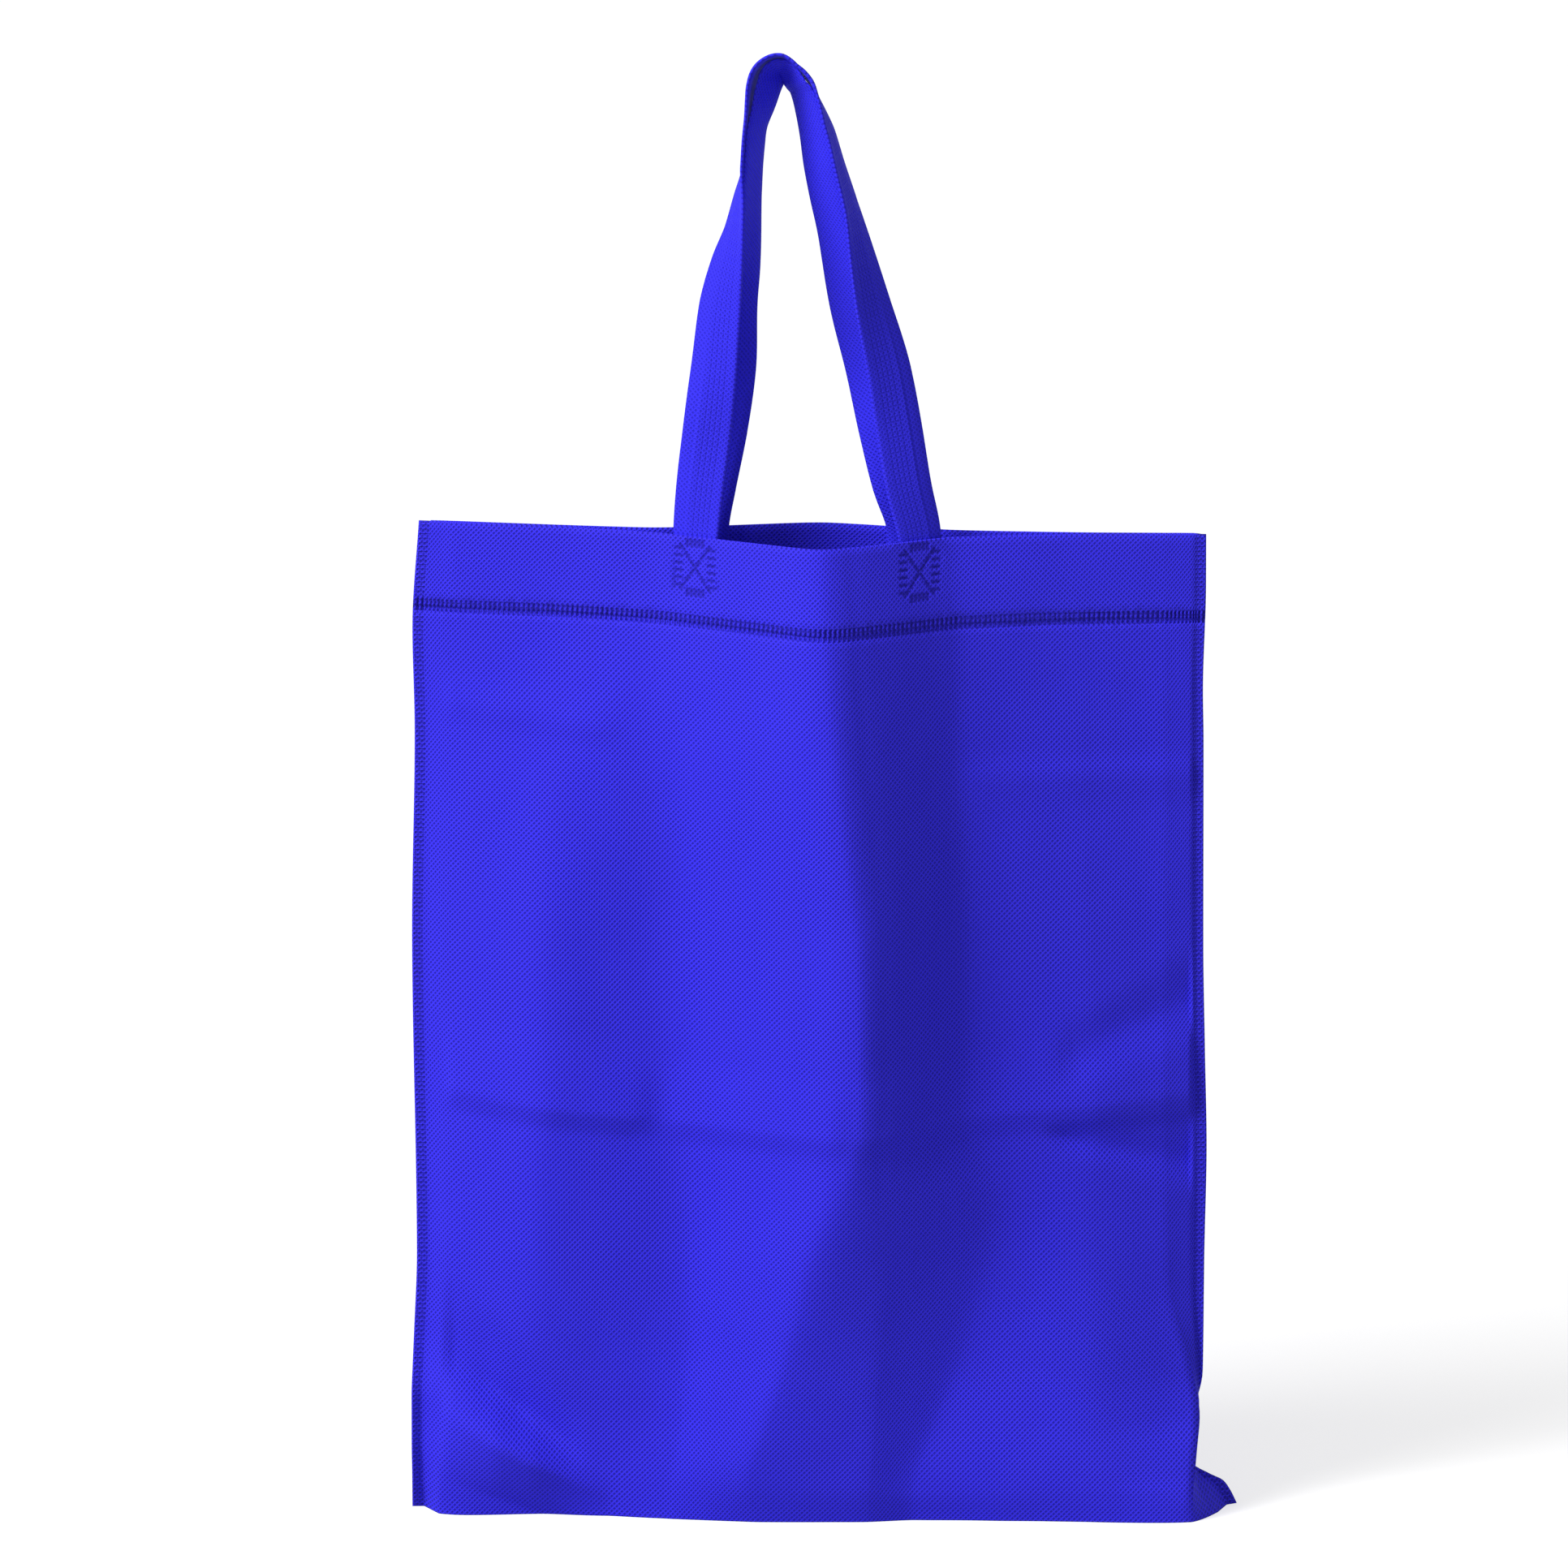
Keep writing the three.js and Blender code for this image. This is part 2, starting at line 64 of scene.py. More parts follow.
# The body's fine mesh: cells for each cell of the model's own fold grid, its rounded folds and its waves
FINE_ACROSS = 4
FINE_UP = 4
FOLD_SOFTNESS = 0.25  # how much a column takes from each neighbour in one rounding pass
ROUNDING_PASSES = 14
CROWN_RISE = 0.6  # how far the rim's rounded fold rises, as a share of the cloth's thickness
PUCKERS = ((38, 0.6), (15, 0.25))  # length and depth of each set of slight waves, in millimetres
PUCKER_SLENDERNESS = 0.7  # the waves' length across, as a share of their length up
PUCKER_FADE = 0.1  # the share of the half width over which they die out at each side

# The fold lines from the left seam to the right one: cells to the next line, then keys of height (share of
# the rim height), place across (share of the half width), and depth forward and back in millimetres
FOLD_LINES = {
    "left_seam": (1, [
        (0, -1, 0, 0), (0.03, -1, 6, -6), (0.07, -1.001, 9, -9), (0.118, -1.001, 9, -9),
        (0.15, -0.998, 4, -4), (0.177, -0.995, 1, -1), (0.26, -0.987, 0, 0), (0.58, -0.997, 0, 0),
        (0.79, -0.989, 0, 0), (0.89, -0.994, 0, 0), (1, -0.977, 0, 0)]),
    "left_shoulder": (4, [
        (0, -0.92, 16, 17), (0.04, -0.92, 17, 15), (0.11, -0.91, 14, 10), (0.18, -0.9, 8, 7),
        (0.6, -0.9, 7, 4), (0.8, -0.9, 4, 2), (1, -0.9, 1.6, -0.6)]),
    "left_pleat": (4, [
        (0, -0.62, 11.5, 25), (0.04, -0.62, 14, 27), (0.11, -0.635, 17, 25), (0.18, -0.66, 20, 22),
        (0.28, -0.67, 22, 19), (0.42, -0.66, 22.5, 15), (0.59, -0.655, 21.5, 11), (0.7, -0.645, 18, 9),
        (0.79, -0.62, 14, 6), (0.91, -0.6, 8, -1), (1, -0.6, 6.7, -5)]),
    "left_valley": (6, [
        (0, -0.36, 20.5, 26), (0.04, -0.345, 21, 29), (0.11, -0.32, 18.5, 29), (0.18, -0.31, 16, 28),
        (0.28, -0.31, 15.5, 25), (0.42, -0.34, 16, 21), (0.59, -0.345, 17, 17), (0.79, -0.365, 20, 9),
        (0.91, -0.36, 17, 0), (1, -0.37, 14, -7)]),
    "ridge": (2, [
        (0, -0.12, 26, 26), (0.04, -0.147, 31, 30), (0.1, -0.1, 36, 32), (0.17, -0.045, 40, 32),
        (0.28, 0.02, 46, 31), (0.38, 0.096, 49, 30), (0.45, 0.12, 52, 29), (0.59, 0.114, 54, 25),
        (0.73, 0.072, 53, 20), (0.865, 0.039, 50, 15), (0.91, 0.03, 48, 12), (1, 0.021, 41, 8.5)]),
    "branch": (4, [
        (0, 0.145, 26, 26), (0.04, 0.153, 30.5, 30), (0.17, 0.174, 33, 31), (0.32, 0.19, 40, 30),
        (0.38, 0.18, 43.5, 29), (0.45, 0.195, 46, 28), (0.59, 0.195, 47, 24), (0.73, 0.16, 46, 19),
        (0.91, 0.12, 42, 11), (1, 0.105, 36, 7)]),
    "dark_edge": (3, [
        (0, 0.275, 22, 26), (0.03, 0.275, 24.5, 29), (0.1, 0.327, 22, 28), (0.165, 0.395, 18.5, 26),
        (0.24, 0.445, 16, 23), (0.325, 0.479, 14, 20), (0.38, 0.42, 15, 18), (0.42, 0.395, 15, 17),
        (0.59, 0.395, 16, 13), (0.79, 0.383, 17, 7), (0.91, 0.375, 17.5, 1), (1, 0.365, 12, -2)]),
    "right_plane": (3, [
        (0, 0.7, 25.5, 25), (0.04, 0.7, 27, 26), (0.165, 0.7, 19, 18), (0.28, 0.705, 14, 13),
        (0.42, 0.72, 12, 9), (0.59, 0.705, 10, 6), (0.91, 0.69, 6, -1), (1, 0.69, 3.5, -2)]),
    "right_corner": (2, [
        (0, 0.97, 28, 19), (0.015, 0.972, 27.5, 18), (0.03, 0.975, 26, 16), (0.042, 0.978, 23, 14),
        (0.07, 0.985, 17, 10), (0.1, 0.992, 9, 7), (0.14, 0.975, 5, 5), (0.235, 0.91, 5.5, 5),
        (0.42, 0.9, 4.4, 4), (0.59, 0.9, 3.7, 3), (1, 0.9, 1.2, 0)]),
    "right_slot": (1, [
        (0, 1.03, 14, 12), (0.015, 1.006, 12, 11), (0.024, 0.991, 9, 10), (0.032, 0.982, 5, 9),
        (0.042, 0.977, 5, 8), (0.07, 0.985, 6, 6), (0.1, 0.99, 3.5, 4), (0.14, 0.985, 2.2, 3),
        (0.235, 0.967, 1.8, 2), (0.59, 0.967, 1.2, 1.2), (1, 0.967, 0.6, 0.6)]),
    "right_seam": (0, [
        (0, 1.087, -5, 5), (0.014, 1.07, -4.5, 4.5), (0.024, 1.052, -4, 4), (0.031, 1.018, -3.5, 3.5),
        (0.042, 0.975, -3.5, 3.5), (0.07, 0.97, -3.5, 3.5), (0.1, 0.98, -2, 2), (0.14, 1.0, 0, 0),
        (0.26, 1.003, 0, 0), (0.37, 1.008, 0, 0), (0.47, 1.003, 0, 0), (0.58, 0.998, 0, 0),
        (0.79, 0.997, 0, 0), (0.84, 0.995, 0, 0), (0.95, 1.002, 0, 0), (1, 1.002, 0, 0)]),
}

# Creases pressed into the front panel: ends (shares of half width and rim height), height in millimetres,
# and the reach of the slope above and below at each end
CREASES = [
    {"from": (-1, 0.434), "to": (-0.35, 0.405), "height": 2.6, "above": (34, 30), "below": (9, 9)},
    {"from": (-0.38, 0.405), "to": (0.12, 0.402), "height": 2, "above": (26, 26), "below": (9, 9)},
    {"from": (0.1, 0.402), "to": (1, 0.428), "height": 2.6, "above": (26, 36), "below": (9, 12)},
    {"from": (-1, 0.822), "to": (-0.46, 0.798), "height": 1.2, "above": (16, 14), "below": (6, 6)},
    {"from": (0.37, 0.76), "to": (1, 0.756), "height": 1.2, "above": (8, 8), "below": (14, 14)},
    {"from": (-0.98, 0.118), "to": (-0.5, 0.017), "height": 10, "above": (25, 11), "below": (30, 18),
     "fade": 0.4},
    {"from": (-0.98, 0.177), "to": (-0.56, 0.065), "height": -6, "above": (40, 25), "below": (25, 12),
     "fade": 0.4},
    {"from": (0.62, 0.462), "to": (1, 0.53), "height": -2.4, "above": (14, 22), "below": (14, 20)},
    {"from": (0.6, 0.392), "to": (1.02, 0.352), "height": -3.4, "above": (5, 26), "below": (5, 14)},
]
CREASE_FADE = 0.12  # the share of a crease's length over which a free end dies out

# Rows of points, as shares of the wall's height and of the hem's
WALL_ROWS = [0, 0.006, 0.015, 0.026, 0.036, 0.05, 0.07, 0.098, 0.13, 0.165, 0.205, 0.25, 0.295, 0.34,
             0.385, 0.42, 0.443, 0.463, 0.49, 0.53, 0.575, 0.625, 0.675, 0.725, 0.775, 0.82, 0.86, 0.9,
             0.95, 1]
HEM_ROWS = [0, 0.33, 0.67, 1]

# Welds pressed into the outer faces, in millimetres: the ribbed line along the hem's free edge and, over
# each handle end, two rows and two columns of dashes with a dashed cross
WELD_PARTS = 5  # cells for each cell of the fine mesh, where a weld is pressed in
HEM_WELD_MIDDLE = 389.9
HEM_WELD_WIDTH = 6
HEM_WELD_ROWS = (386.9, 392.93)  # the rows of points just below and just above the weld
HEM_WELD_DEPTH = 0.8
HEM_WELD_SLOPE = 0.4
RIB_PITCH = 2.1
RIB_SHAPE = (0.5, 0.7, 0.08)  # middle, swing and least depth of a rib, as shares of the weld's depth
PATCH_HEIGHT = 412.5
PATCH_HALF = (6.8, 10.4)
PATCH_REACH = (9, 13.5)  # how far from a patch's middle the mesh is cut finer
DASH_HALF = 1.25
DASH_WIDTH = 0.55
DASH_DEPTH = 0.6
DASH_SLOPE = 1.6  # the reach of a dash's slopes, in widths
SIDE_DASHES = (6, 0.75)  # how many, and the share of the patch's half height that they fill
END_DASHES = (5, 0.48)  # how many, and the share of its half width
CROSS_DASHES = (6, 0.8, 0.1)  # how many, the share of the diagonal, and half a dash's share of it

# The side welds' dashes, in millimetres from the seam and along it
SIDE_WELD_BAND = (0.9, 4.6)
SIDE_WELD_SOFTNESS = 0.2
SIDE_WELD_PITCH = 1.9
SIDE_WELD_DASH = (0.14, 0.3)  # how far from its middle a dash starts and ends its fade, shares of the pitch

# The strips' fine mesh, in millimetres
ROUTE_POINTS = 2000
STRAP_STATIONS = 601  # two for each row of dots, which lie about 1.6 mm apart
STRAP_EDGE = 0.35
STEP_REACH = (0.5, 0.12)  # how far out the free edge's foot and its steep side reach
STEP_SHARE = 0.8  # how far down the steep side goes, as a share of one layer
STEP_INSIDE = 0.6  # how far in from the free edge the next column lies
DOT_COLUMNS = (-1.2, 1.0, 3.2, 5.4)
DOT_HALF = 0.45
DOT_DEPTH = 0.28
PLAIN_COLUMNS = (2.6, 1.9, -6.6, -7.6, -8.6)  # further columns of points on the top, beside the dots
UNDER_COLUMNS = (-6, -3, 0, 3, 6)

# Each handle's free route: across, back, height above the rim, turn of its outer edge to the back
FRONT_ROUTE = [
    (-45.2, -18.5, 21, 14), (-42.2, -16.5, 45, 6), (-39.2, -14.5, 72, 20), (-36.7, -13, 98, 32),
    (-33.8, -12.5, 116, 51), (-31, -12, 129, 68), (-28.8, -12, 144, 80), (-27.1, -11.5, 158, 94),
    (-25.8, -11, 171, 97), (-24.5, -11, 181, 99), (-23.8, -11, 188, 101), (-22.9, -11, 193.5, 104),
    (-20.9, -11, 199, 107), (-18.2, -11, 202, 109), (-14.8, -11, 204, 109), (-11.4, -11, 204.5, 108),
    (-8.6, -11, 203, 107), (-6.4, -11, 200.9, 107), (-3.3, -11, 198.6, 106), (0.1, -11, 195, 103),
    (2.7, -11, 190.4, 97), (5.3, -11, 184, 91), (7.6, -11, 177.5, 86), (9.9, -11, 171, 83),
    (13.6, -11.3, 157, 80), (18.3, -12, 140, 75), (22.9, -12.5, 119, 60), (27.6, -13.5, 98, 45),
    (34, -15, 71.5, 28), (38.6, -16, 44.5, 20), (42.5, -17.5, 21, 22)]
BACK_ROUTE = [
    (-39.8, -2.6, 18, -14), (-34.8, 0, 41, -20), (-30.4, 3, 67, -30), (-28.7, 4, 93.5, -42),
    (-25.9, 2.5, 112, -55), (-23.8, -2, 141, -66), (-22.95, -5, 155.3, -67), (-22.2, -7, 164.4, -67),
    (-21.3, -8, 173, -65), (-18.6, -8, 182.4, -60), (-16.6, -7.4, 190, -56), (-15.3, -7.1, 193.5, -54),
    (-14.2, -6.9, 196.3, -53), (-12.9, -6.7, 197.8, -52), (-11.5, -6.7, 198.3, -52),
    (-10.1, -6.9, 197.9, -53.5), (-8.3, -7.3, 196.8, -57), (-6.6, -7.8, 194.9, -59),
    (-4.8, -8.1, 192.1, -60), (-2.5, -8.3, 189.3, -59), (-0.8, -8.3, 185, -58),
    (2.6, -8.2, 171, -54), (4.9, -7.8, 156.5, -51), (8, -7, 142.5, -47), (11.4, -5, 127.5, -45),
    (17.4, 1, 94, -38), (24.6, 3, 67, -30), (31, 0, 41, -20), (37, -1, 18, -14)]

# Colours of the puffed cloth, of its bonds and of its welds, in sRGB
BAG_COLOURS = ((60, 52, 246), (36, 28, 170), (27, 21, 132))
STRAP_COLOURS = ((54, 48, 236), (42, 35, 196), (36, 30, 170))

# Cloth: its small bonds, fibres and cloudy places, with colours as factors of the cloth's own and shares of
# the mix, and relief as shares of the bump's depth
BOND_PITCH = 1.55 * MM
BOND_SLENDERNESS = 0.8
BOND_EDGE = (0.14, 0.36)  # where a bond ends and the puffed cloth begins, as shares of the pitch
FIBRE_SCALE = 2600  # cells of noise a metre
FIBRE_ROUGHNESS = 0.7
FIBRE_LEVELS = (0.4, 0.8)
FIBRE_LIGHT = 1.2
FIBRE_SHARE = 0.2
CLOUD_SCALE = 22  # cells of noise a metre
CLOUD_LEVELS = (0.45, 0.75)
CLOUD_DARK = 0.86
CLOUD_SHARE = 0.2
NOISE_DETAIL = 3
WELD_SHARE = 0.85
SIDE_WELD_SHARE = 0.4
ROUGHNESS = (0.6, 0.15)  # in the bonds, and how much more on the puffed cloth
SHINE = 0.12
BAG_BOND_RELIEF = 1
STRAP_BOND_RELIEF = 0.7
FIBRE_RELIEF = 0.3
SIDE_WELD_RELIEF = 1.5
BUMP_DEPTH = 0.3 * MM

# Camera: the photo's view, in the photo's own pixels, degrees and millimetres, with its distance and its
# reach in metres
PHOTO_SIZE = 1932
PIXELS_PER_MM = 2.93
CAMERA_RISE = 14
CAMERA_DISTANCE = 14
CAMERA_REACH = 50
AIM = (-9.9, 0, 314.5)
SENSOR = 36

# Light, in metres, degrees and watts: a soft distant lamp from the left front, a soft near lamp at the top
# left, a plain white world and a pale floor
WORLD_LIGHT = 0.44
KEY_PLACE = (-2.4, -1.7, 2.6)
KEY_SOFTNESS = 25
KEY_LIGHT = 1.62
TOP_PLACE = (-0.95, -0.6, 1.15)
TOP_SIZE = 0.5
TOP_AIM = (-0.1, 0, 0.45)
TOP_WATTS = 10.5
FLOOR_REACH = 30
FLOOR_PALENESS = 0.5
FLOOR_ROUGHNESS = 0.9
FLOOR_SHINE = 0.1
FLOOR_LIFT = 0.62


def along(keys, heights, column):
    """One column of a list of keys at the given heights, on a smooth curve through the keys."""
    keys = np.asarray(keys, float)
    x, y = keys[:, 0], keys[:, column]
    step = np.diff(x)
    slope = np.diff(y) / step
    product = slope[:-1] * slope[1:]
    total = slope[:-1] + slope[1:]
    inner = np.where(product > 0, 2 * product / np.where(product > 0, total, 1), 0)
    tangent = np.concatenate([[slope[0]], inner, [slope[-1]]])
    h = np.clip(heights, x[0], x[-1])
    i = np.clip(np.searchsorted(x, h, side="right") - 1, 0, len(x) - 2)
    t = (h - x[i]) / step[i]
    rise = t * t * (3 - 2 * t)
    bend = step[i] * (tangent[i] * t * (1 - t) ** 2 - tangent[i + 1] * t * t * (1 - t))
    return y[i] + (y[i + 1] - y[i]) * rise + bend


def crease_lift(crease, across, up):
    """How far a pressed crease lifts the front panel, in millimetres."""
    (x0, z0), (x1, z1) = crease["from"], crease["to"]
    t = (across - x0) / (x1 - x0)
    inside = (t > 0) & (t < 1)
    t = np.clip(t, 0, 1)
    off = (up - (z0 + (z1 - z0) * t)) * RIM_HEIGHT
    above = crease["above"][0] + (crease["above"][1] - crease["above"][0]) * t
    below = crease["below"][0] + (crease["below"][1] - crease["below"][0]) * t
    reach = np.where(off > 0, above, below)
    fade = crease.get("fade", CREASE_FADE)
    fade_in = 1 if abs(x0) >= 1 else np.clip(t / fade, 0, 1)
    fade_out = 1 if abs(x1) >= 1 else np.clip((1 - t) / fade, 0, 1)
    return crease["height"] * np.maximum(0, 1 - np.abs(off) / reach) * fade_in * fade_out * inside


def layers_at(heights):
    hem_edge = RIM_HEIGHT - HEM_HEIGHT
    return SHEET * (1 + np.clip((heights - hem_edge + HEM_STEP) / HEM_STEP, 0, 1))


def weld_points(seam, beside):
    """Where the side weld ends: its width in from the seam, towards the next fold line."""
    middle = (beside[2] - beside[1]) / 2
    run = np.hypot(beside[0] - seam[0], middle - seam[2])
    share = np.minimum(WELD_REACH, SIDE_WELD / run)
    back = seam[2] + (middle - seam[2]) * share
    return np.stack([seam[0] + (beside[0] - seam[0]) * share, -back, back])


def softened(values, passes):
    """Rounds the folds: each column takes a little from its neighbours, away from the welds."""
    edge = 2 * FINE_ACROSS
    for _ in range(passes):
        beside = (values[:, :-2] + values[:, 2:]) / 2
        middle = values[:, 1:-1] + (beside - values[:, 1:-1]) * 2 * FOLD_SOFTNESS
        values = values.copy()
        values[:, edge:-edge] = middle[:, edge - 1:-(edge - 1)]
    return values


def puckers(across, heights):
    """Slight waves of handled cloth, dying out at the side seams, in millimetres."""
    waves = np.zeros(across.shape)
    for place in np.ndindex(across.shape):
        x, z = across[place], heights[place]
        for size, depth in PUCKERS:
            waves[place] += depth * noise.noise(Vector((x / size, z / size * PUCKER_SLENDERNESS, size)))
    return waves * np.clip((1 - np.abs(across) / HALF_WIDTH) / PUCKER_FADE, 0, 1)


def level_cuts(heights):
    """The columns of every level cut: across, forward and back, in millimetres."""
    up = heights / RIM_HEIGHT
    points = [np.stack([along(keys, up, 1) * HALF_WIDTH, along(keys, up, 2), along(keys, up, 3)])
              for _, keys in FOLD_LINES.values()]
    cells = [count for count, _ in FOLD_LINES.values()][:-1]
    points.insert(1, weld_points(points[0], points[1]))
    points.insert(-1, weld_points(points[-1], points[-2]))
    cells = [1, *cells, 1]
    columns = []
    for first, second, count in zip(points, points[1:], cells):
        for k in range(count * FINE_ACROSS):
            columns.append(first + (second - first) * k / (count * FINE_ACROSS))
    columns.append(points[-1])
    across, forward, back = np.stack(columns, axis=-1)
    forward = softened(forward, ROUNDING_PASSES)
    back = softened(back, ROUNDING_PASSES)
    edge = 2 * FINE_ACROSS
    inner = slice(edge, -edge)
    lift = sum(crease_lift(c, across / HALF_WIDTH, up[:, None]) for c in CREASES)
    lift += puckers(across, np.broadcast_to(heights[:, None], across.shape))
    forward[:, inner] += lift[:, inner]
    back[:, inner] = np.maximum(back[:, inner], INSIDE_GAP - forward[:, inner])
    return across, forward, back


def finer(rows, parts):
    rows = np.asarray(rows, float)
    t = np.arange(parts) / parts
    return np.append((rows[:-1, None] + np.diff(rows)[:, None] * t).ravel(), rows[-1])


def row_heights():
    hem_edge = RIM_HEIGHT - HEM_HEIGHT
    wall = np.sort(np.append(finer(WALL_ROWS, FINE_UP) * (hem_edge - HEM_STEP), HEM_WELD_ROWS[0]))
    hem = hem_edge + finer(HEM_ROWS, FINE_UP) * (RIM_HEIGHT - SHEET - hem_edge)
    return np.concatenate([wall, hem])


def inner_face(outer, middle, layers, inward):
    """The inner face lies one or two layers in, square to the outer one."""
    along_row = np.gradient(outer, axis=1)
    up_column = np.gradient(outer, axis=0)
    normal = np.cross(along_row, up_column)
    normal /= np.linalg.norm(normal, axis=2, keepdims=True)
    normal[-1, :, 2] = 0
    inner = outer + inward * normal * layers[:, None, None]
    inner[:, :, 2] = np.maximum(SHEET, inner[:, :, 2])
    inner[0, :, 2] = SHEET
    for c in (0, FINE_ACROSS, -1 - FINE_ACROSS, -1):
        inner[:, c] = middle[:, c]
        inner[:, c, 2] = np.maximum(SHEET, inner[:, c, 2])
    return inner


def body_faces():
    """The four faces of the bag, each an array of rows by columns of points, in millimetres."""
    heights = row_heights()
    layers = layers_at(heights)
    across, forward, back = level_cuts(heights)
    z = heights[:, None] * (1 - (across / HALF_WIDTH) * RIM_RISE / RIM_HEIGHT)
    face = lambda y: np.stack([across, y, z], axis=-1)
    front = face(-forward - layers[:, None])
    rear = face(back + layers[:, None])
    middle = face((back - forward) / 2)
    return {
        "front": front,
        "back": rear,
        "inner_front": inner_face(front, middle, layers, -1),
        "inner_back": inner_face(rear, middle, layers, 1),
    }


def strip(first, second):
    """Quads between two rows of corner numbers."""
    return np.stack([first[:-1], second[:-1], second[1:], first[1:]], axis=-1).reshape(-1, 4)


def runs_across(face):
    """How far each point lies from the left seam, measured over the cloth, in millimetres."""
    run = np.linalg.norm(np.diff(face[:, :, :2], axis=1), axis=2)
    return np.concatenate([np.zeros((len(face), 1)), np.cumsum(run, axis=1)], axis=1)


def cloth_coordinates(face):
    """Places on the cloth laid flat, from its left seam and from the floor, in metres."""
    across = face[:, :, 0] - face[:, :1, 0]
    u = across + (runs_across(face) - across).mean(axis=0)
    return np.stack([u, face[:, :, 2]], axis=-1) * MM


def seam_distances(points, number, faces):
    """How far each point of the two outer faces lies from the nearer side seam, in metres."""
    away = np.ones(len(points))
    for name in ("front", "back"):
        run = runs_across(faces[name])
        away[number[name]] = np.minimum(run, run[:, -1:] - run) * MM
    return away


def finer_grid(values, parts):
    """A grid with each cell cut into parts by parts, by straight interpolation."""
    t = (np.arange(parts) / parts)[None, :, None, None]
    for _ in range(2):
        between = values[:-1, None] + (values[1:] - values[:-1])[:, None] * t
        values = np.concatenate([between.reshape(-1, *values.shape[1:]), values[-1:]])
        values = np.swapaxes(values, 0, 1)
    return values


def patch_dashes():
    """The dashes of the weld over a handle's end, as pairs of end points from the patch's middle."""
    wide, high = PATCH_HALF
    side_count, side_share = SIDE_DASHES
    end_count, end_share = END_DASHES
    cross_count, cross_share, dash_share = CROSS_DASHES
    dashes = []
    for side in (-1, 1):
        for z in np.linspace(-side_share * high, side_share * high, side_count):
            dashes.append(((side * wide - DASH_HALF, z), (side * wide + DASH_HALF, z)))
        for x in np.linspace(-end_share * wide, end_share * wide, end_count):
            dashes.append(((x, side * high - DASH_HALF), (x, side * high + DASH_HALF)))
        for t in np.linspace(-cross_share, cross_share, cross_count):
            middle = np.array([side * t * wide, t * high])
            half = np.array([side * wide, high]) * dash_share
            dashes.append((tuple(middle - half), tuple(middle + half)))
    return dashes


def weld_dents(run, across, height, spread):
    """How deep the welds press the cloth, at places over the cloth, across the bag and up."""
    band = np.clip((HEM_WELD_WIDTH / 2 - np.abs(height - HEM_WELD_MIDDLE)) / HEM_WELD_SLOPE, 0, 1)
    middle, swing, least = RIB_SHAPE
    ribs = np.clip(middle + swing * np.cos(2 * np.pi * run / RIB_PITCH), least, 1)
    dents = HEM_WELD_DEPTH * band * ribs
    x = np.abs(across) - spread / 2
    z = height - PATCH_HEIGHT
    for (x0, z0), (x1, z1) in patch_dashes():
        length = math.hypot(x1 - x0, z1 - z0)
        t = np.clip(((x - x0) * (x1 - x0) + (z - z0) * (z1 - z0)) / length ** 2, 0, 1)
        off = np.hypot(x - x0 - t * (x1 - x0), z - z0 - t * (z1 - z0))
        dents = np.maximum(dents, DASH_DEPTH * np.clip(DASH_SLOPE - off / DASH_WIDTH, 0, 1))
    return dents


def welded_cells(face, heights, spread):
    """Which cells of an outer face are cut finer to carry the pressed welds."""
    across = (face[:-1, :-1, 0] + face[1:, 1:, 0]) / 2
    middle = ((heights[:-1] + heights[1:]) / 2)[:, None]
    low, high = HEM_WELD_ROWS
    band = np.broadcast_to((middle > low) & (middle < high), across.shape).copy()
    band[:, [0, -1]] = False
    beside = np.abs(np.abs(across) - spread / 2) < PATCH_REACH[0]
    return band | (beside & (np.abs(middle - PATCH_HEIGHT) < PATCH_REACH[1]))


class WeldedFace:
    """An outer face as polygons: whole cells, and finer ones where the welds are pressed in."""

    def __init__(self, face, heights, spread, outward, first, number):
        levels = np.broadcast_to(heights[:, None, None], (*face.shape[:2], 1))
        grid = np.concatenate([face, cloth_coordinates(face), levels], axis=2)
        grid = finer_grid(grid, WELD_PARTS)
        dents = weld_dents(grid[:, :, 3] / MM, grid[:, :, 0], grid[:, :, 5], spread)
        self.points = grid[:, :, :3]
        self.points[:, :, 1] -= outward * dents
        self.uv = grid[:, :, 3:5]
        self.pressed = dents / HEM_WELD_DEPTH
        self.fine = welded_cells(face, heights, spread)
        self.first = first
        self.numbers = {(r * WELD_PARTS, c * WELD_PARTS): int(number[r, c])
                        for r, c in np.ndindex(number.shape)}
        self.added = []
        cells = (self.small_cells(r, c) if self.fine[r, c] else [self.whole_cell(r, c)]
                 for r, c in np.ndindex(self.fine.shape))
        self.polygons = [loop[::-outward] for loops in cells for loop in loops]

    def corner(self, r, c):
        """The number of a corner of the finer grid, new where no other cell has used it."""
        if (r, c) not in self.numbers:
            self.numbers[r, c] = self.first + len(self.added)
            self.added.append((r, c))
        return self.numbers[r, c]

    def small_cells(self, row, column):
        loops = []
        for a, b in np.ndindex(WELD_PARTS, WELD_PARTS):
            r, c = row * WELD_PARTS + a, column * WELD_PARTS + b
            loops.append([self.corner(*at) for at in ((r + 1, c), (r, c), (r, c + 1), (r + 1, c + 1))])
        return loops

    def is_fine(self, row, column):
        rows, columns = self.fine.shape
        return 0 <= row < rows and 0 <= column < columns and self.fine[row, column]

    def whole_cell(self, row, column):
        """The loop of a whole cell, with the extra corners of the finer cells beside it."""
        low, left = row * WELD_PARTS, column * WELD_PARTS
        high, right = low + WELD_PARTS, left + WELD_PARTS
        steps = range(1, WELD_PARTS)
        loop = [(high, left)]
        if self.is_fine(row, column - 1):
            loop += [(high - k, left) for k in steps]
        loop.append((low, left))
        if self.is_fine(row - 1, column):
            loop += [(low, left + k) for k in steps]
        loop.append((low, right))
        if self.is_fine(row, column + 1):
            loop += [(low + k, right) for k in steps]
        loop.append((high, right))
        if self.is_fine(row + 1, column):
            loop += [(high, right - k) for k in steps]
        return [self.corner(*at) for at in loop]


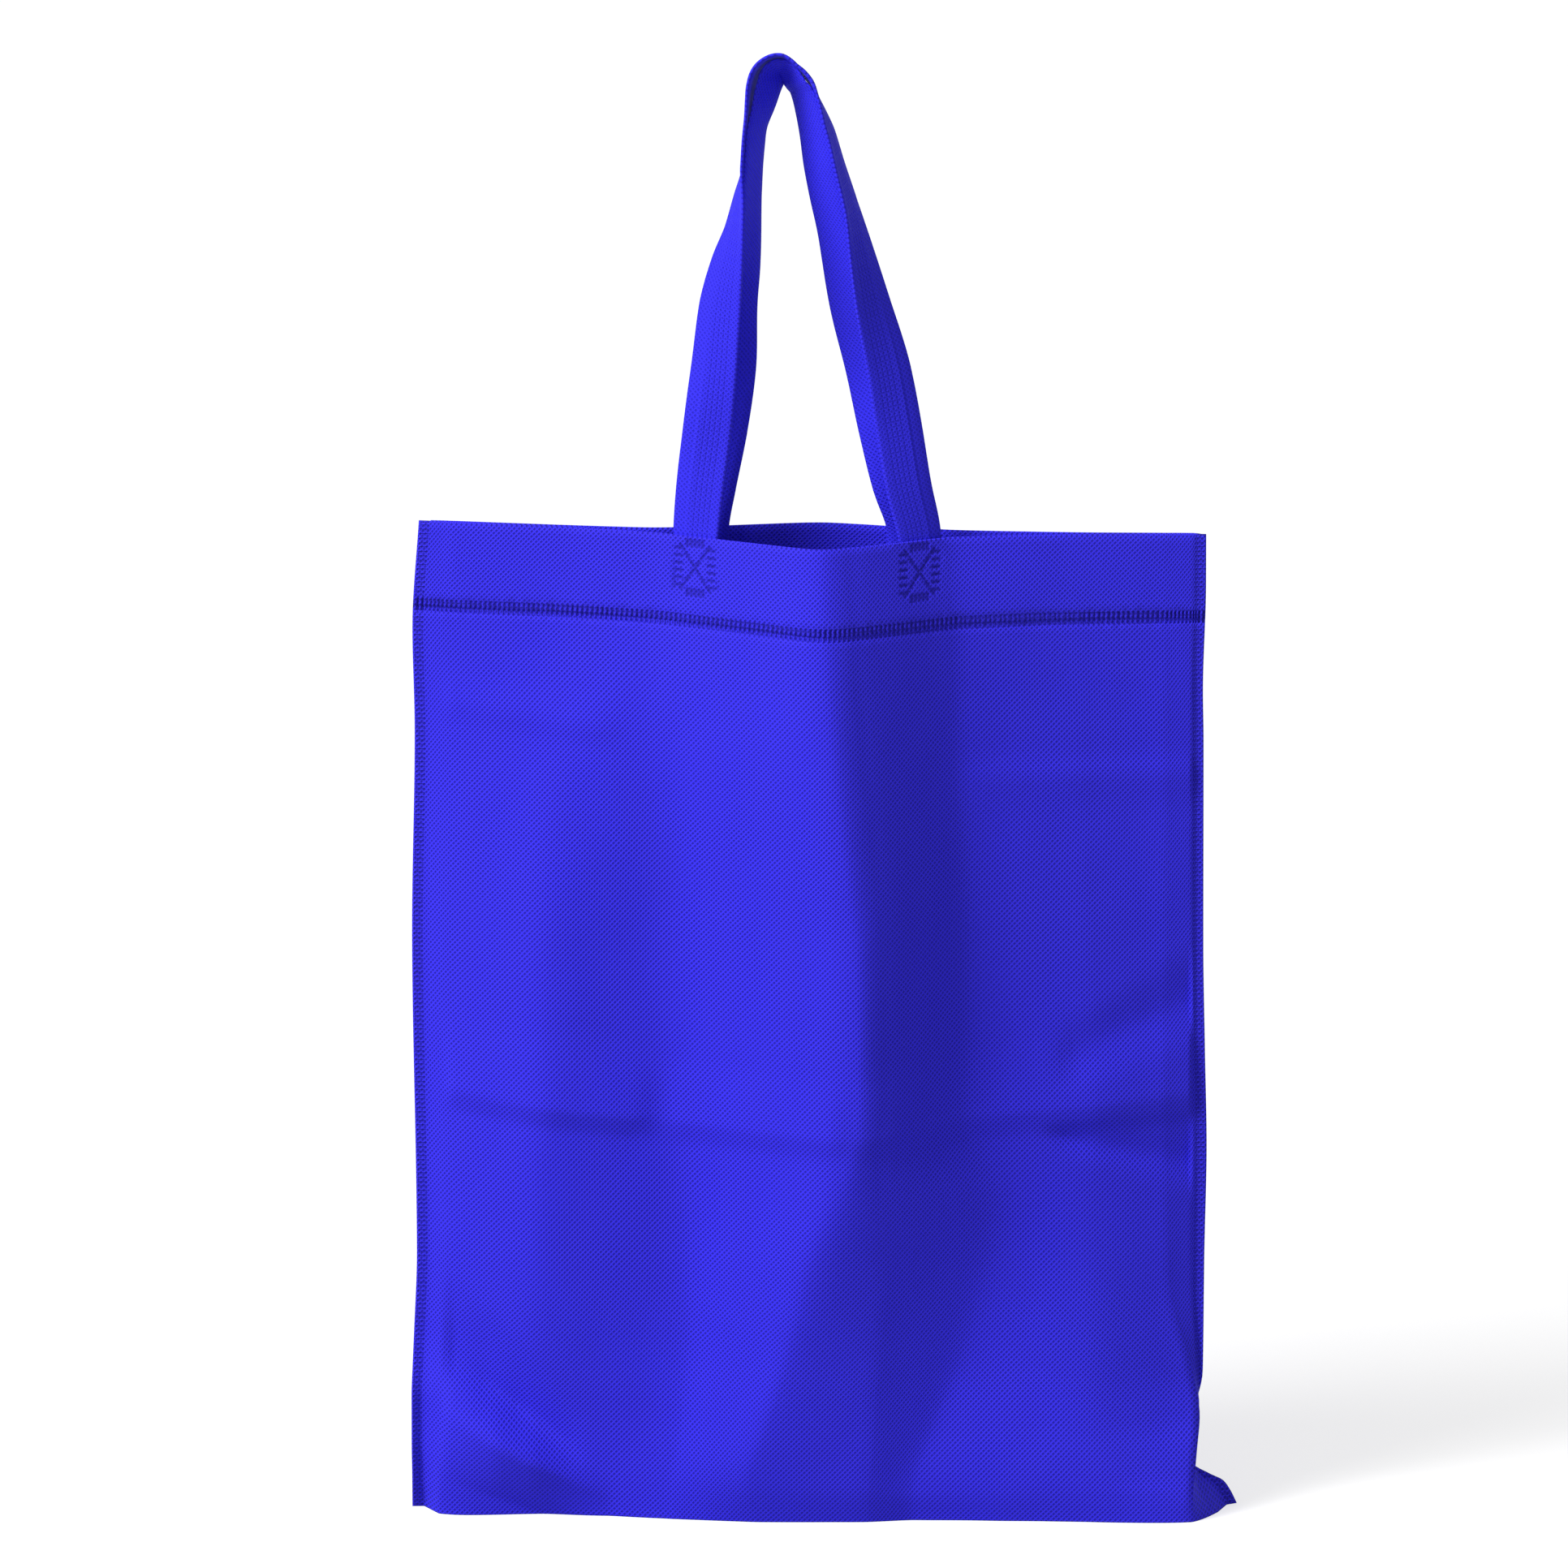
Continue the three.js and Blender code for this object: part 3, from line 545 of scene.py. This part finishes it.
class Surface:
    """The points of a mesh in millimetres, each with its place on the cloth and how hard it is pressed."""

    def __init__(self):
        self.points = np.zeros((0, 3))
        self.uv = np.zeros((0, 2))
        self.pressed = np.zeros(0)

    def add(self, points, uv, pressed=0):
        """Adds points and returns their numbers."""
        first = len(self.points)
        self.points = np.concatenate([self.points, points.reshape(-1, 3)])
        self.uv = np.concatenate([self.uv, uv.reshape(-1, 2)])
        count = len(self.points) - first
        self.pressed = np.append(self.pressed, np.broadcast_to(pressed, count))
        return first + np.arange(count)

    def mesh(self, name, polygons, seen_from_above=slice(0, 0)):
        """A smooth mesh. The corners seen from above take their places on the cloth from there."""
        me = bpy.data.meshes.new(name)
        me.from_pydata((self.points * MM).tolist(), [], polygons)
        corner = np.zeros(len(me.loops), np.int32)
        me.loops.foreach_get("vertex_index", corner)
        places = self.uv[corner]
        places[seen_from_above] = self.points[corner[seen_from_above]][:, :2] * MM
        me.uv_layers.new(name="cloth").data.foreach_set("uv", places.ravel())
        me.attributes.new("pressed", "FLOAT", "POINT").data.foreach_set("value", self.pressed)
        me.validate()
        me.shade_smooth()
        return me


def add_crowns(surface, faces, cut):
    """The rounded tops of the front and back hems."""
    crowns = []
    for outer_name, inner_name in (("front", "inner_front"), ("back", "inner_back")):
        outer = faces[outer_name][-1, cut]
        crown = (outer + faces[inner_name][-1, cut]) / 2
        crown[:, 2] = outer[:, 2] + SHEET * CROWN_RISE
        crowns.append(surface.add(crown, cloth_coordinates(faces[outer_name])[-1, cut]))
    return crowns


def add_welded_faces(surface, faces, heights, number):
    """The two outer faces as polygons, with their welds pressed in."""
    polygons = []
    for name, spread, outward in (("front", FRONT_SPREAD, -1), ("back", BACK_SPREAD, 1)):
        welded = WeldedFace(faces[name], heights, spread, outward, len(surface.points), number[name])
        surface.points[number[name]] = welded.points[::WELD_PARTS, ::WELD_PARTS]
        surface.pressed[number[name]] = welded.pressed[::WELD_PARTS, ::WELD_PARTS]
        rows, columns = np.transpose(welded.added)
        surface.add(welded.points[rows, columns], welded.uv[rows, columns], welded.pressed[rows, columns])
        polygons += welded.polygons
    return polygons


def end_caps(front, back, inner, crowns):
    """The two polygons over the top ends of the side welds."""
    caps = []
    for side, end in ((0, slice(0, FINE_ACROSS + 1)), (-1, slice(-1, -FINE_ACROSS - 2, -1))):
        loop = [*front[-1, end], crowns[0][side], inner[-1, side], crowns[1][side], *back[-1, end][::-1]]
        loop = [int(corner) for corner in loop]
        caps.append(loop[::-1] if side else loop)
    return caps


def bag_mesh(faces, heights):
    """One closed mesh of the front, back, bottom, hem and side welds."""
    surface = Surface()
    number = {name: surface.add(face, cloth_coordinates(face)).reshape(face.shape[:2])
              for name, face in faces.items()}
    front, back = number["front"], number["back"]
    cut = slice(FINE_ACROSS, -FINE_ACROSS)
    inner_front = number["inner_front"][:, cut]
    inner_back = number["inner_back"][:, cut].copy()
    inner_back[:, [0, -1]] = inner_front[:, [0, -1]]
    front_crown, back_crown = add_crowns(surface, faces, cut)
    welded = add_welded_faces(surface, faces, heights, number)
    walls = []
    for low, high in zip(range(len(front)), range(1, len(front))):
        walls.append(strip(inner_front[low], inner_front[high]))
        walls.append(strip(inner_back[high], inner_back[low]))
    walls.append(strip(front[:, 0], back[:, 0])[:, ::-1])
    walls.append(strip(front[:, -1], back[:, -1]))
    base = [strip(front[0], back[0]), strip(inner_back[0], inner_front[0])]
    rims = [strip(front_crown, front[-1, cut]), strip(inner_front[-1], front_crown),
            strip(back_crown, inner_back[-1]), strip(back[-1, cut], back_crown)]
    quads = np.concatenate(walls + base + rims)
    base_from = sum(map(len, walls)) * 4
    base_to = base_from + sum(map(len, base)) * 4
    caps = end_caps(front, back, inner_front, (front_crown, back_crown))
    me = surface.mesh("bag_cloth", quads.tolist() + caps + welded, slice(base_from, base_to))
    seam = me.attributes.new("seam", "FLOAT", "POINT")
    seam.data.foreach_set("value", seam_distances(surface.points, number, faces))
    return me


def add_piece(name, mesh, material):
    piece = bpy.data.objects.new(name, mesh)
    bpy.context.collection.objects.link(piece)
    piece.data.materials.append(material)
    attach(piece, "root")
    return piece


def srgb(red, green, blue):
    """A colour written as 0 to 255 in sRGB, as linear RGBA."""
    shares = (c / 255 for c in (red, green, blue))
    return (*(((c + 0.055) / 1.055) ** 2.4 if c > 0.04045 else c / 12.92 for c in shares), 1)


class Nodes:
    """Short calls to build a material's node tree."""

    def __init__(self, name):
        self.material = bpy.data.materials.new(name)
        self.material.use_nodes = True
        self.tree = self.material.node_tree
        self.shader = self.tree.nodes["Principled BSDF"]

    def add(self, kind, **values):
        node = self.tree.nodes.new(kind)
        for key, value in values.items():
            setattr(node, key, value)
        return node

    def link(self, source, target):
        self.tree.links.new(source, target)

    def math(self, operation, first, second=0.5, clamp=False):
        node = self.add("ShaderNodeMath", operation=operation, use_clamp=clamp)
        for socket, value in zip(node.inputs, (first, second)):
            if isinstance(value, (int, float)):
                socket.default_value = value
            else:
                self.link(value, socket)
        return node.outputs[0]

    def smooth(self, value, low, high):
        node = self.add("ShaderNodeMapRange", interpolation_type="SMOOTHSTEP")
        node.inputs["From Min"].default_value = low
        node.inputs["From Max"].default_value = high
        self.link(value, node.inputs["Value"])
        return node.outputs["Result"]

    def mix(self, factor, first, second):
        node = self.add("ShaderNodeMix", data_type="RGBA")
        self.link(factor, node.inputs["Factor"])
        for socket, value in zip((node.inputs[6], node.inputs[7]), (first, second)):
            if isinstance(value, tuple):
                socket.default_value = value
            else:
                self.link(value, socket)
        return node.outputs[2]

    def noise(self, vector, scale, roughness=0.5):
        node = self.add("ShaderNodeTexNoise")
        node.inputs["Scale"].default_value = scale
        node.inputs["Detail"].default_value = NOISE_DETAIL
        node.inputs["Roughness"].default_value = roughness
        self.link(vector, node.inputs["Vector"])
        return node.outputs["Fac"]

    def bump(self, height, depth):
        node = self.add("ShaderNodeBump")
        node.inputs["Strength"].default_value = 1
        node.inputs["Distance"].default_value = depth
        self.link(height, node.inputs["Height"])
        self.link(node.outputs["Normal"], self.shader.inputs["Normal"])


def side_dashes(n, up):
    """The short dashes of the side welds: 1 in a dash and 0 beside it."""
    seam = n.add("ShaderNodeAttribute", attribute_name="seam").outputs["Fac"]
    soft = SIDE_WELD_SOFTNESS * MM
    near, far = (d * MM for d in SIDE_WELD_BAND)
    begun = n.smooth(seam, near - soft, near + soft)
    ended = n.smooth(seam, far - soft, far + soft)
    band = n.math("MULTIPLY", begun, n.math("SUBTRACT", 1, ended))
    row = n.math("FRACT", n.math("DIVIDE", up, SIDE_WELD_PITCH * MM))
    away = n.math("ABSOLUTE", n.math("SUBTRACT", row, 0.5))
    return n.math("MULTIPLY", band, n.math("SUBTRACT", 1, n.smooth(away, *SIDE_WELD_DASH)))


def puffed_cloth(n, u, v):
    """The diagonal grid of small bonds: 0 in a bond and 1 on the puffed cloth between them."""
    scale = 1 / (BOND_PITCH * math.sqrt(2))
    plus = n.math("MULTIPLY", n.math("ADD", u, v), scale)
    minus = n.math("MULTIPLY", n.math("SUBTRACT", u, v), scale)
    along_bond = n.math("ABSOLUTE", n.math("SUBTRACT", n.math("FRACT", plus), 0.5))
    across_bond = n.math("ABSOLUTE", n.math("SUBTRACT", n.math("FRACT", minus), 0.5))
    away = n.math("MAXIMUM", n.math("MULTIPLY", along_bond, BOND_SLENDERNESS), across_bond)
    return n.smooth(away, *BOND_EDGE)


def scaled(colour, factor):
    return tuple(min(1, c * factor) for c in colour[:3]) + (1,)


def cloth_material(name, colours, bond_relief):
    """Spunbonded cloth, darker in its bonds and welds, with light fibres and cloudy places."""
    base, bond, weld = (srgb(*colour) for colour in colours)
    n = Nodes(name)
    uv = n.add("ShaderNodeUVMap", uv_map="cloth").outputs["UV"]
    split = n.add("ShaderNodeSeparateXYZ")
    n.link(uv, split.inputs[0])
    u, v = split.outputs[0], split.outputs[1]
    puff = puffed_cloth(n, u, v)
    fibres = n.noise(uv, FIBRE_SCALE, FIBRE_ROUGHNESS)
    cloud = n.noise(uv, CLOUD_SCALE)
    dashes = side_dashes(n, v)
    pressed = n.add("ShaderNodeAttribute", attribute_name="pressed").outputs["Fac"]
    welds = n.math("MAXIMUM", pressed, n.math("MULTIPLY", dashes, SIDE_WELD_SHARE))
    colour = n.mix(puff, bond, base)
    fibre_share = n.math("MULTIPLY", n.smooth(fibres, *FIBRE_LEVELS), FIBRE_SHARE)
    colour = n.mix(fibre_share, colour, scaled(base, FIBRE_LIGHT))
    cloud_share = n.math("MULTIPLY", n.smooth(cloud, *CLOUD_LEVELS), CLOUD_SHARE)
    colour = n.mix(cloud_share, colour, scaled(base, CLOUD_DARK))
    colour = n.mix(n.math("MULTIPLY", welds, WELD_SHARE, clamp=True), colour, weld)
    n.link(colour, n.shader.inputs["Base Color"])
    bond_roughness, puff_roughness = ROUGHNESS
    rough = n.math("ADD", n.math("MULTIPLY", puff, puff_roughness), bond_roughness)
    n.link(rough, n.shader.inputs["Roughness"])
    n.shader.inputs["Specular IOR Level"].default_value = SHINE
    relief = n.math("ADD", n.math("MULTIPLY", puff, bond_relief), n.math("MULTIPLY", fibres, FIBRE_RELIEF))
    relief = n.math("SUBTRACT", relief, n.math("MULTIPLY", dashes, SIDE_WELD_RELIEF))
    n.bump(relief, BUMP_DEPTH)
    return n.material


def on_face(face, across, height):
    """The point of a face, an array of rows by columns, at a place across and a height."""
    x = face[:, :, 0]
    c = np.argmax(x > across, axis=1)
    r = np.arange(len(face))
    t = ((across - x[r, c - 1]) / (x[r, c] - x[r, c - 1]))[:, None]
    at = face[r, c - 1] * (1 - t) + face[r, c] * t
    higher = np.nonzero(at[:, 2] > height)[0]
    k = higher[0] if len(higher) and higher[0] > 0 else len(at) - 1
    t = (height - at[k - 1, 2]) / (at[k, 2] - at[k - 1, 2])
    return at[k - 1] * (1 - t) + at[k] * t


def tucked_point(face, across, depth, inward):
    """Where a handle's tucked end lies, flat against the inside of the hem."""
    height = RIM_HEIGHT - depth
    middle = on_face(face, across, height)
    left = on_face(face, across - STRAP_WIDTH / 2, height)
    right = on_face(face, across + STRAP_WIDTH / 2, height)
    slope = (right[1] - left[1]) / (right[0] - left[0])
    reach = (1.5 * STRAP_PLY + STRAP_SEAT) * math.hypot(1, slope)
    chord = (left[1] + right[1]) / 2
    y = inward * max(inward * middle[1], inward * chord) + inward * reach
    return (across, y, middle[2], math.degrees(math.atan(slope)) * math.copysign(1, across))


def knot_gap(first, second):
    return np.maximum(np.linalg.norm(second - first, axis=1, keepdims=True) ** 0.5, 1e-4)


def catmull_rom(points, count):
    """Evenly spaced parameters on a Catmull-Rom curve, centripetal as in the model."""
    points = np.asarray(points, float)
    first = 2 * points[0] - points[1]
    last = 2 * points[-1] - points[-2]
    p = np.vstack([first, points, last])
    spans = len(points) - 1
    t = np.linspace(0, spans, count)
    i = np.minimum(t.astype(int), spans - 1)
    w = (t - i)[:, None]
    p0, p1, p2, p3 = p[i], p[i + 1], p[i + 2], p[i + 3]
    d0, d1, d2 = knot_gap(p0, p1), knot_gap(p1, p2), knot_gap(p2, p3)
    m1 = ((p1 - p0) / d0 - (p2 - p0) / (d0 + d1) + (p2 - p1) / d1) * d1
    m2 = ((p2 - p1) / d1 - (p3 - p1) / (d1 + d2) + (p3 - p2) / d2) * d1
    return (p1 * (2 * w ** 3 - 3 * w ** 2 + 1) + m1 * (w ** 3 - 2 * w ** 2 + w)
            + p2 * (-2 * w ** 3 + 3 * w ** 2) + m2 * (w ** 3 - w ** 2))


def handle_frames(route, spread, face, inward, count):
    """Centres, width directions and outward normals along a handle, evenly spaced along it."""
    tuck = lambda side, depth: tucked_point(face, side * spread / 2, depth, inward)
    free = [(x, y, RIM_HEIGHT + z, turn) for x, y, z, turn in route]
    stations = [tuck(-1, STRAP_TUCK), tuck(-1, STRAP_TUCK / 2), tuck(-1, 0), *free,
                tuck(1, 0), tuck(1, STRAP_TUCK / 2), tuck(1, STRAP_TUCK)]
    stations = np.array(stations, float)
    places = catmull_rom(stations[:, :3], ROUTE_POINTS)
    turns = catmull_rom(stations[:, 3:], ROUTE_POINTS)[:, 0]
    run = np.concatenate([[0], np.cumsum(np.linalg.norm(np.diff(places, axis=0), axis=1))])
    even = np.linspace(0, run[-1], count)
    centre = np.stack([np.interp(even, run, places[:, k]) for k in range(3)], axis=-1)
    turn = np.radians(np.interp(even, run, turns))[:, None]
    tangent = np.gradient(centre, axis=0)
    tangent /= np.linalg.norm(tangent, axis=1, keepdims=True)
    outward = np.cross(tangent, [0.0, 1.0, 0.0])
    outward /= np.linalg.norm(outward, axis=1, keepdims=True)
    backward = np.cross(outward, tangent)
    width = outward * np.cos(turn) + backward * np.sin(turn)
    normal = np.cross(tangent, width) * inward
    return centre, width, normal, even


def strap_profile():
    """The section's top from the outer edge to the inner one: place and how far each point stands out."""
    half = STRAP_WIDTH / 2
    top = 1.5 * STRAP_PLY
    step = half - STRAP_MARGIN
    far, near = STEP_REACH
    places = [half - STRAP_EDGE, step + far, step + near, step]
    lift = [top - STRAP_PLY, top - STRAP_PLY, top - STRAP_PLY * STEP_SHARE, top]
    inner_edge = -half + STRAP_EDGE
    dots = []
    for column in DOT_COLUMNS:
        dots += [-column + DOT_HALF, -column, -column - DOT_HALF]
    for place in sorted({step - STEP_INSIDE, *PLAIN_COLUMNS, *dots, inner_edge}, reverse=True):
        places.append(place)
        lift.append(top)
    return np.array(places), np.array(lift)


def strap_sections(count):
    """Places across a strip, how far each point stands out at each station, and which ones are dots."""
    top_places, top_lift = strap_profile()
    half = STRAP_WIDTH / 2
    dot_column = np.array([any(abs(p + c) < 1e-6 for c in DOT_COLUMNS) for p in top_places])
    dot_row = np.arange(count) % 2 == 1
    dents = dot_row[:, None] & dot_column[None, :]
    lift = np.tile(top_lift, (count, 1))
    lift[dents] -= DOT_DEPTH
    under_places = np.array([-half, -half + STRAP_EDGE, *UNDER_COLUMNS, half - STRAP_EDGE, half])
    under_lift = np.full(len(under_places), -1.5 * STRAP_PLY)
    under_lift[[0, -1]] = 0, -STRAP_PLY / 2
    places = np.concatenate([top_places, under_places])
    lifts = np.concatenate([lift, np.tile(under_lift, (count, 1))], axis=1)
    pressed = np.zeros(lifts.shape)
    pressed[:, :len(top_places)] = dents
    return places, lifts, pressed


def handle_mesh(name, route, spread, face, inward):
    """A folded strip with its free edge, rounded folds and rows of bonded dots as real dents."""
    centre, width, normal, run = handle_frames(route, spread, face, inward, STRAP_STATIONS)
    places, lifts, pressed = strap_sections(STRAP_STATIONS)
    points = centre[:, None] + width[:, None] * places[None, :, None]
    points += normal[:, None] * lifts[:, :, None]
    uv = np.stack(np.broadcast_arrays(places, run[:, None]), axis=-1) * MM
    surface = Surface()
    number = surface.add(points, uv, pressed.ravel()).reshape(lifts.shape)
    around = np.concatenate([number, number[:, :1]], axis=1)
    quads = np.concatenate([strip(around[r], around[r + 1]) for r in range(STRAP_STATIONS - 1)])
    caps = [number[0].tolist(), number[-1, ::-1].tolist()]
    if inward < 0:
        quads = quads[:, ::-1]
        caps = [cap[::-1] for cap in caps]
    return surface.mesh(name, quads[:, ::-1].tolist() + caps)


def add_camera():
    rise = math.radians(CAMERA_RISE)
    aim = Vector(AIM) * MM
    eye = aim + Vector((0, -math.cos(rise), math.sin(rise))) * CAMERA_DISTANCE
    data = bpy.data.cameras.new("camera")
    data.sensor_width = SENSOR
    data.lens = SENSOR * CAMERA_DISTANCE / (PHOTO_SIZE / PIXELS_PER_MM * MM)
    data.clip_end = CAMERA_REACH
    camera = bpy.data.objects.new("camera", data)
    camera.location = eye
    camera.rotation_euler = (aim - eye).to_track_quat("-Z", "Y").to_euler()
    bpy.context.collection.objects.link(camera)
    bpy.context.scene.camera = camera


def add_sun(name, place, softness, strength):
    """A distant soft lamp, shining from a place towards the middle of the floor."""
    data = bpy.data.lights.new(name, "SUN")
    data.angle = math.radians(softness)
    data.energy = strength
    lamp = bpy.data.objects.new(name, data)
    lamp.location = place
    lamp.rotation_euler = (-Vector(place)).to_track_quat("-Z", "Y").to_euler()
    bpy.context.collection.objects.link(lamp)


def add_near_lamp(name, place, aim, size, watts):
    """A soft lamp close by, whose light falls off over the bag."""
    data = bpy.data.lights.new(name, "AREA")
    data.shape = "SQUARE"
    data.size = size
    data.energy = watts
    lamp = bpy.data.objects.new(name, data)
    lamp.location = place
    lamp.rotation_euler = (Vector(aim) - Vector(place)).to_track_quat("-Z", "Y").to_euler()
    bpy.context.collection.objects.link(lamp)


def seen_ray(tree):
    """1 for the rays that show the background: straight, mirrored or through glass."""
    path = tree.nodes.new("ShaderNodeLightPath")
    either = path.outputs["Is Camera Ray"]
    for name in ("Is Glossy Ray", "Is Transmission Ray"):
        node = tree.nodes.new("ShaderNodeMath")
        node.operation = "MAXIMUM"
        tree.links.new(either, node.inputs[0])
        tree.links.new(path.outputs[name], node.inputs[1])
        either = node.outputs[0]
    return either


def add_world(strength):
    world = bpy.data.worlds.new("studio")
    world.use_nodes = True
    tree = world.node_tree
    light = tree.nodes["Background"]
    light.inputs["Color"].default_value = (1, 1, 1, 1)
    light.inputs["Strength"].default_value = strength
    seen = tree.nodes.new("ShaderNodeBackground")
    seen.inputs["Color"].default_value = (1, 1, 1, 1)
    seen.inputs["Strength"].default_value = 1
    mix = tree.nodes.new("ShaderNodeMixShader")
    tree.links.new(seen_ray(tree), mix.inputs["Fac"])
    tree.links.new(light.outputs[0], mix.inputs[1])
    tree.links.new(seen.outputs[0], mix.inputs[2])
    tree.links.new(mix.outputs[0], tree.nodes["World Output"].inputs["Surface"])
    bpy.context.scene.world = world


def add_floor():
    """A pale floor that shows as white away from the bag and keeps the bag's shadow."""
    me = bpy.data.meshes.new("floor")
    corners = [(-FLOOR_REACH, -FLOOR_REACH, 0), (FLOOR_REACH, -FLOOR_REACH, 0),
               (FLOOR_REACH, FLOOR_REACH, 0), (-FLOOR_REACH, FLOOR_REACH, 0)]
    me.from_pydata(corners, [], [(0, 1, 2, 3)])
    floor = bpy.data.objects.new("floor", me)
    n = Nodes("floor_paper")
    n.shader.inputs["Base Color"].default_value = (FLOOR_PALENESS,) * 3 + (1,)
    n.shader.inputs["Roughness"].default_value = FLOOR_ROUGHNESS
    n.shader.inputs["Specular IOR Level"].default_value = FLOOR_SHINE
    n.shader.inputs["Emission Color"].default_value = (1, 1, 1, 1)
    n.link(n.math("MULTIPLY", seen_ray(n.tree), FLOOR_LIFT), n.shader.inputs["Emission Strength"])
    me.materials.append(n.material)
    bpy.context.collection.objects.link(floor)


def build():
    faces = body_faces()
    cloth = cloth_material("bag_cloth", BAG_COLOURS, BAG_BOND_RELIEF)
    strap = cloth_material("handle_cloth", STRAP_COLOURS, STRAP_BOND_RELIEF)
    body = add_piece("bag_cloth", bag_mesh(faces, row_heights()), cloth)
    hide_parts("bag_body")
    for name, route, spread, face, inward in (
            ("front_handle_strip", FRONT_ROUTE, FRONT_SPREAD, faces["inner_front"], 1),
            ("back_handle_strip", BACK_ROUTE, BACK_SPREAD, faces["inner_back"], -1)):
        strip_mesh = handle_mesh(name, route, spread, face, inward)
        piece = add_piece(name, strip_mesh, strap)
        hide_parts(name.replace("_strip", ""))


add_camera()
add_world(WORLD_LIGHT)
add_sun("key", KEY_PLACE, KEY_SOFTNESS, KEY_LIGHT)
add_near_lamp("top_left", TOP_PLACE, TOP_AIM, TOP_SIZE, TOP_WATTS)
add_floor()
build()
bpy.context.scene.view_settings.view_transform = "Standard"
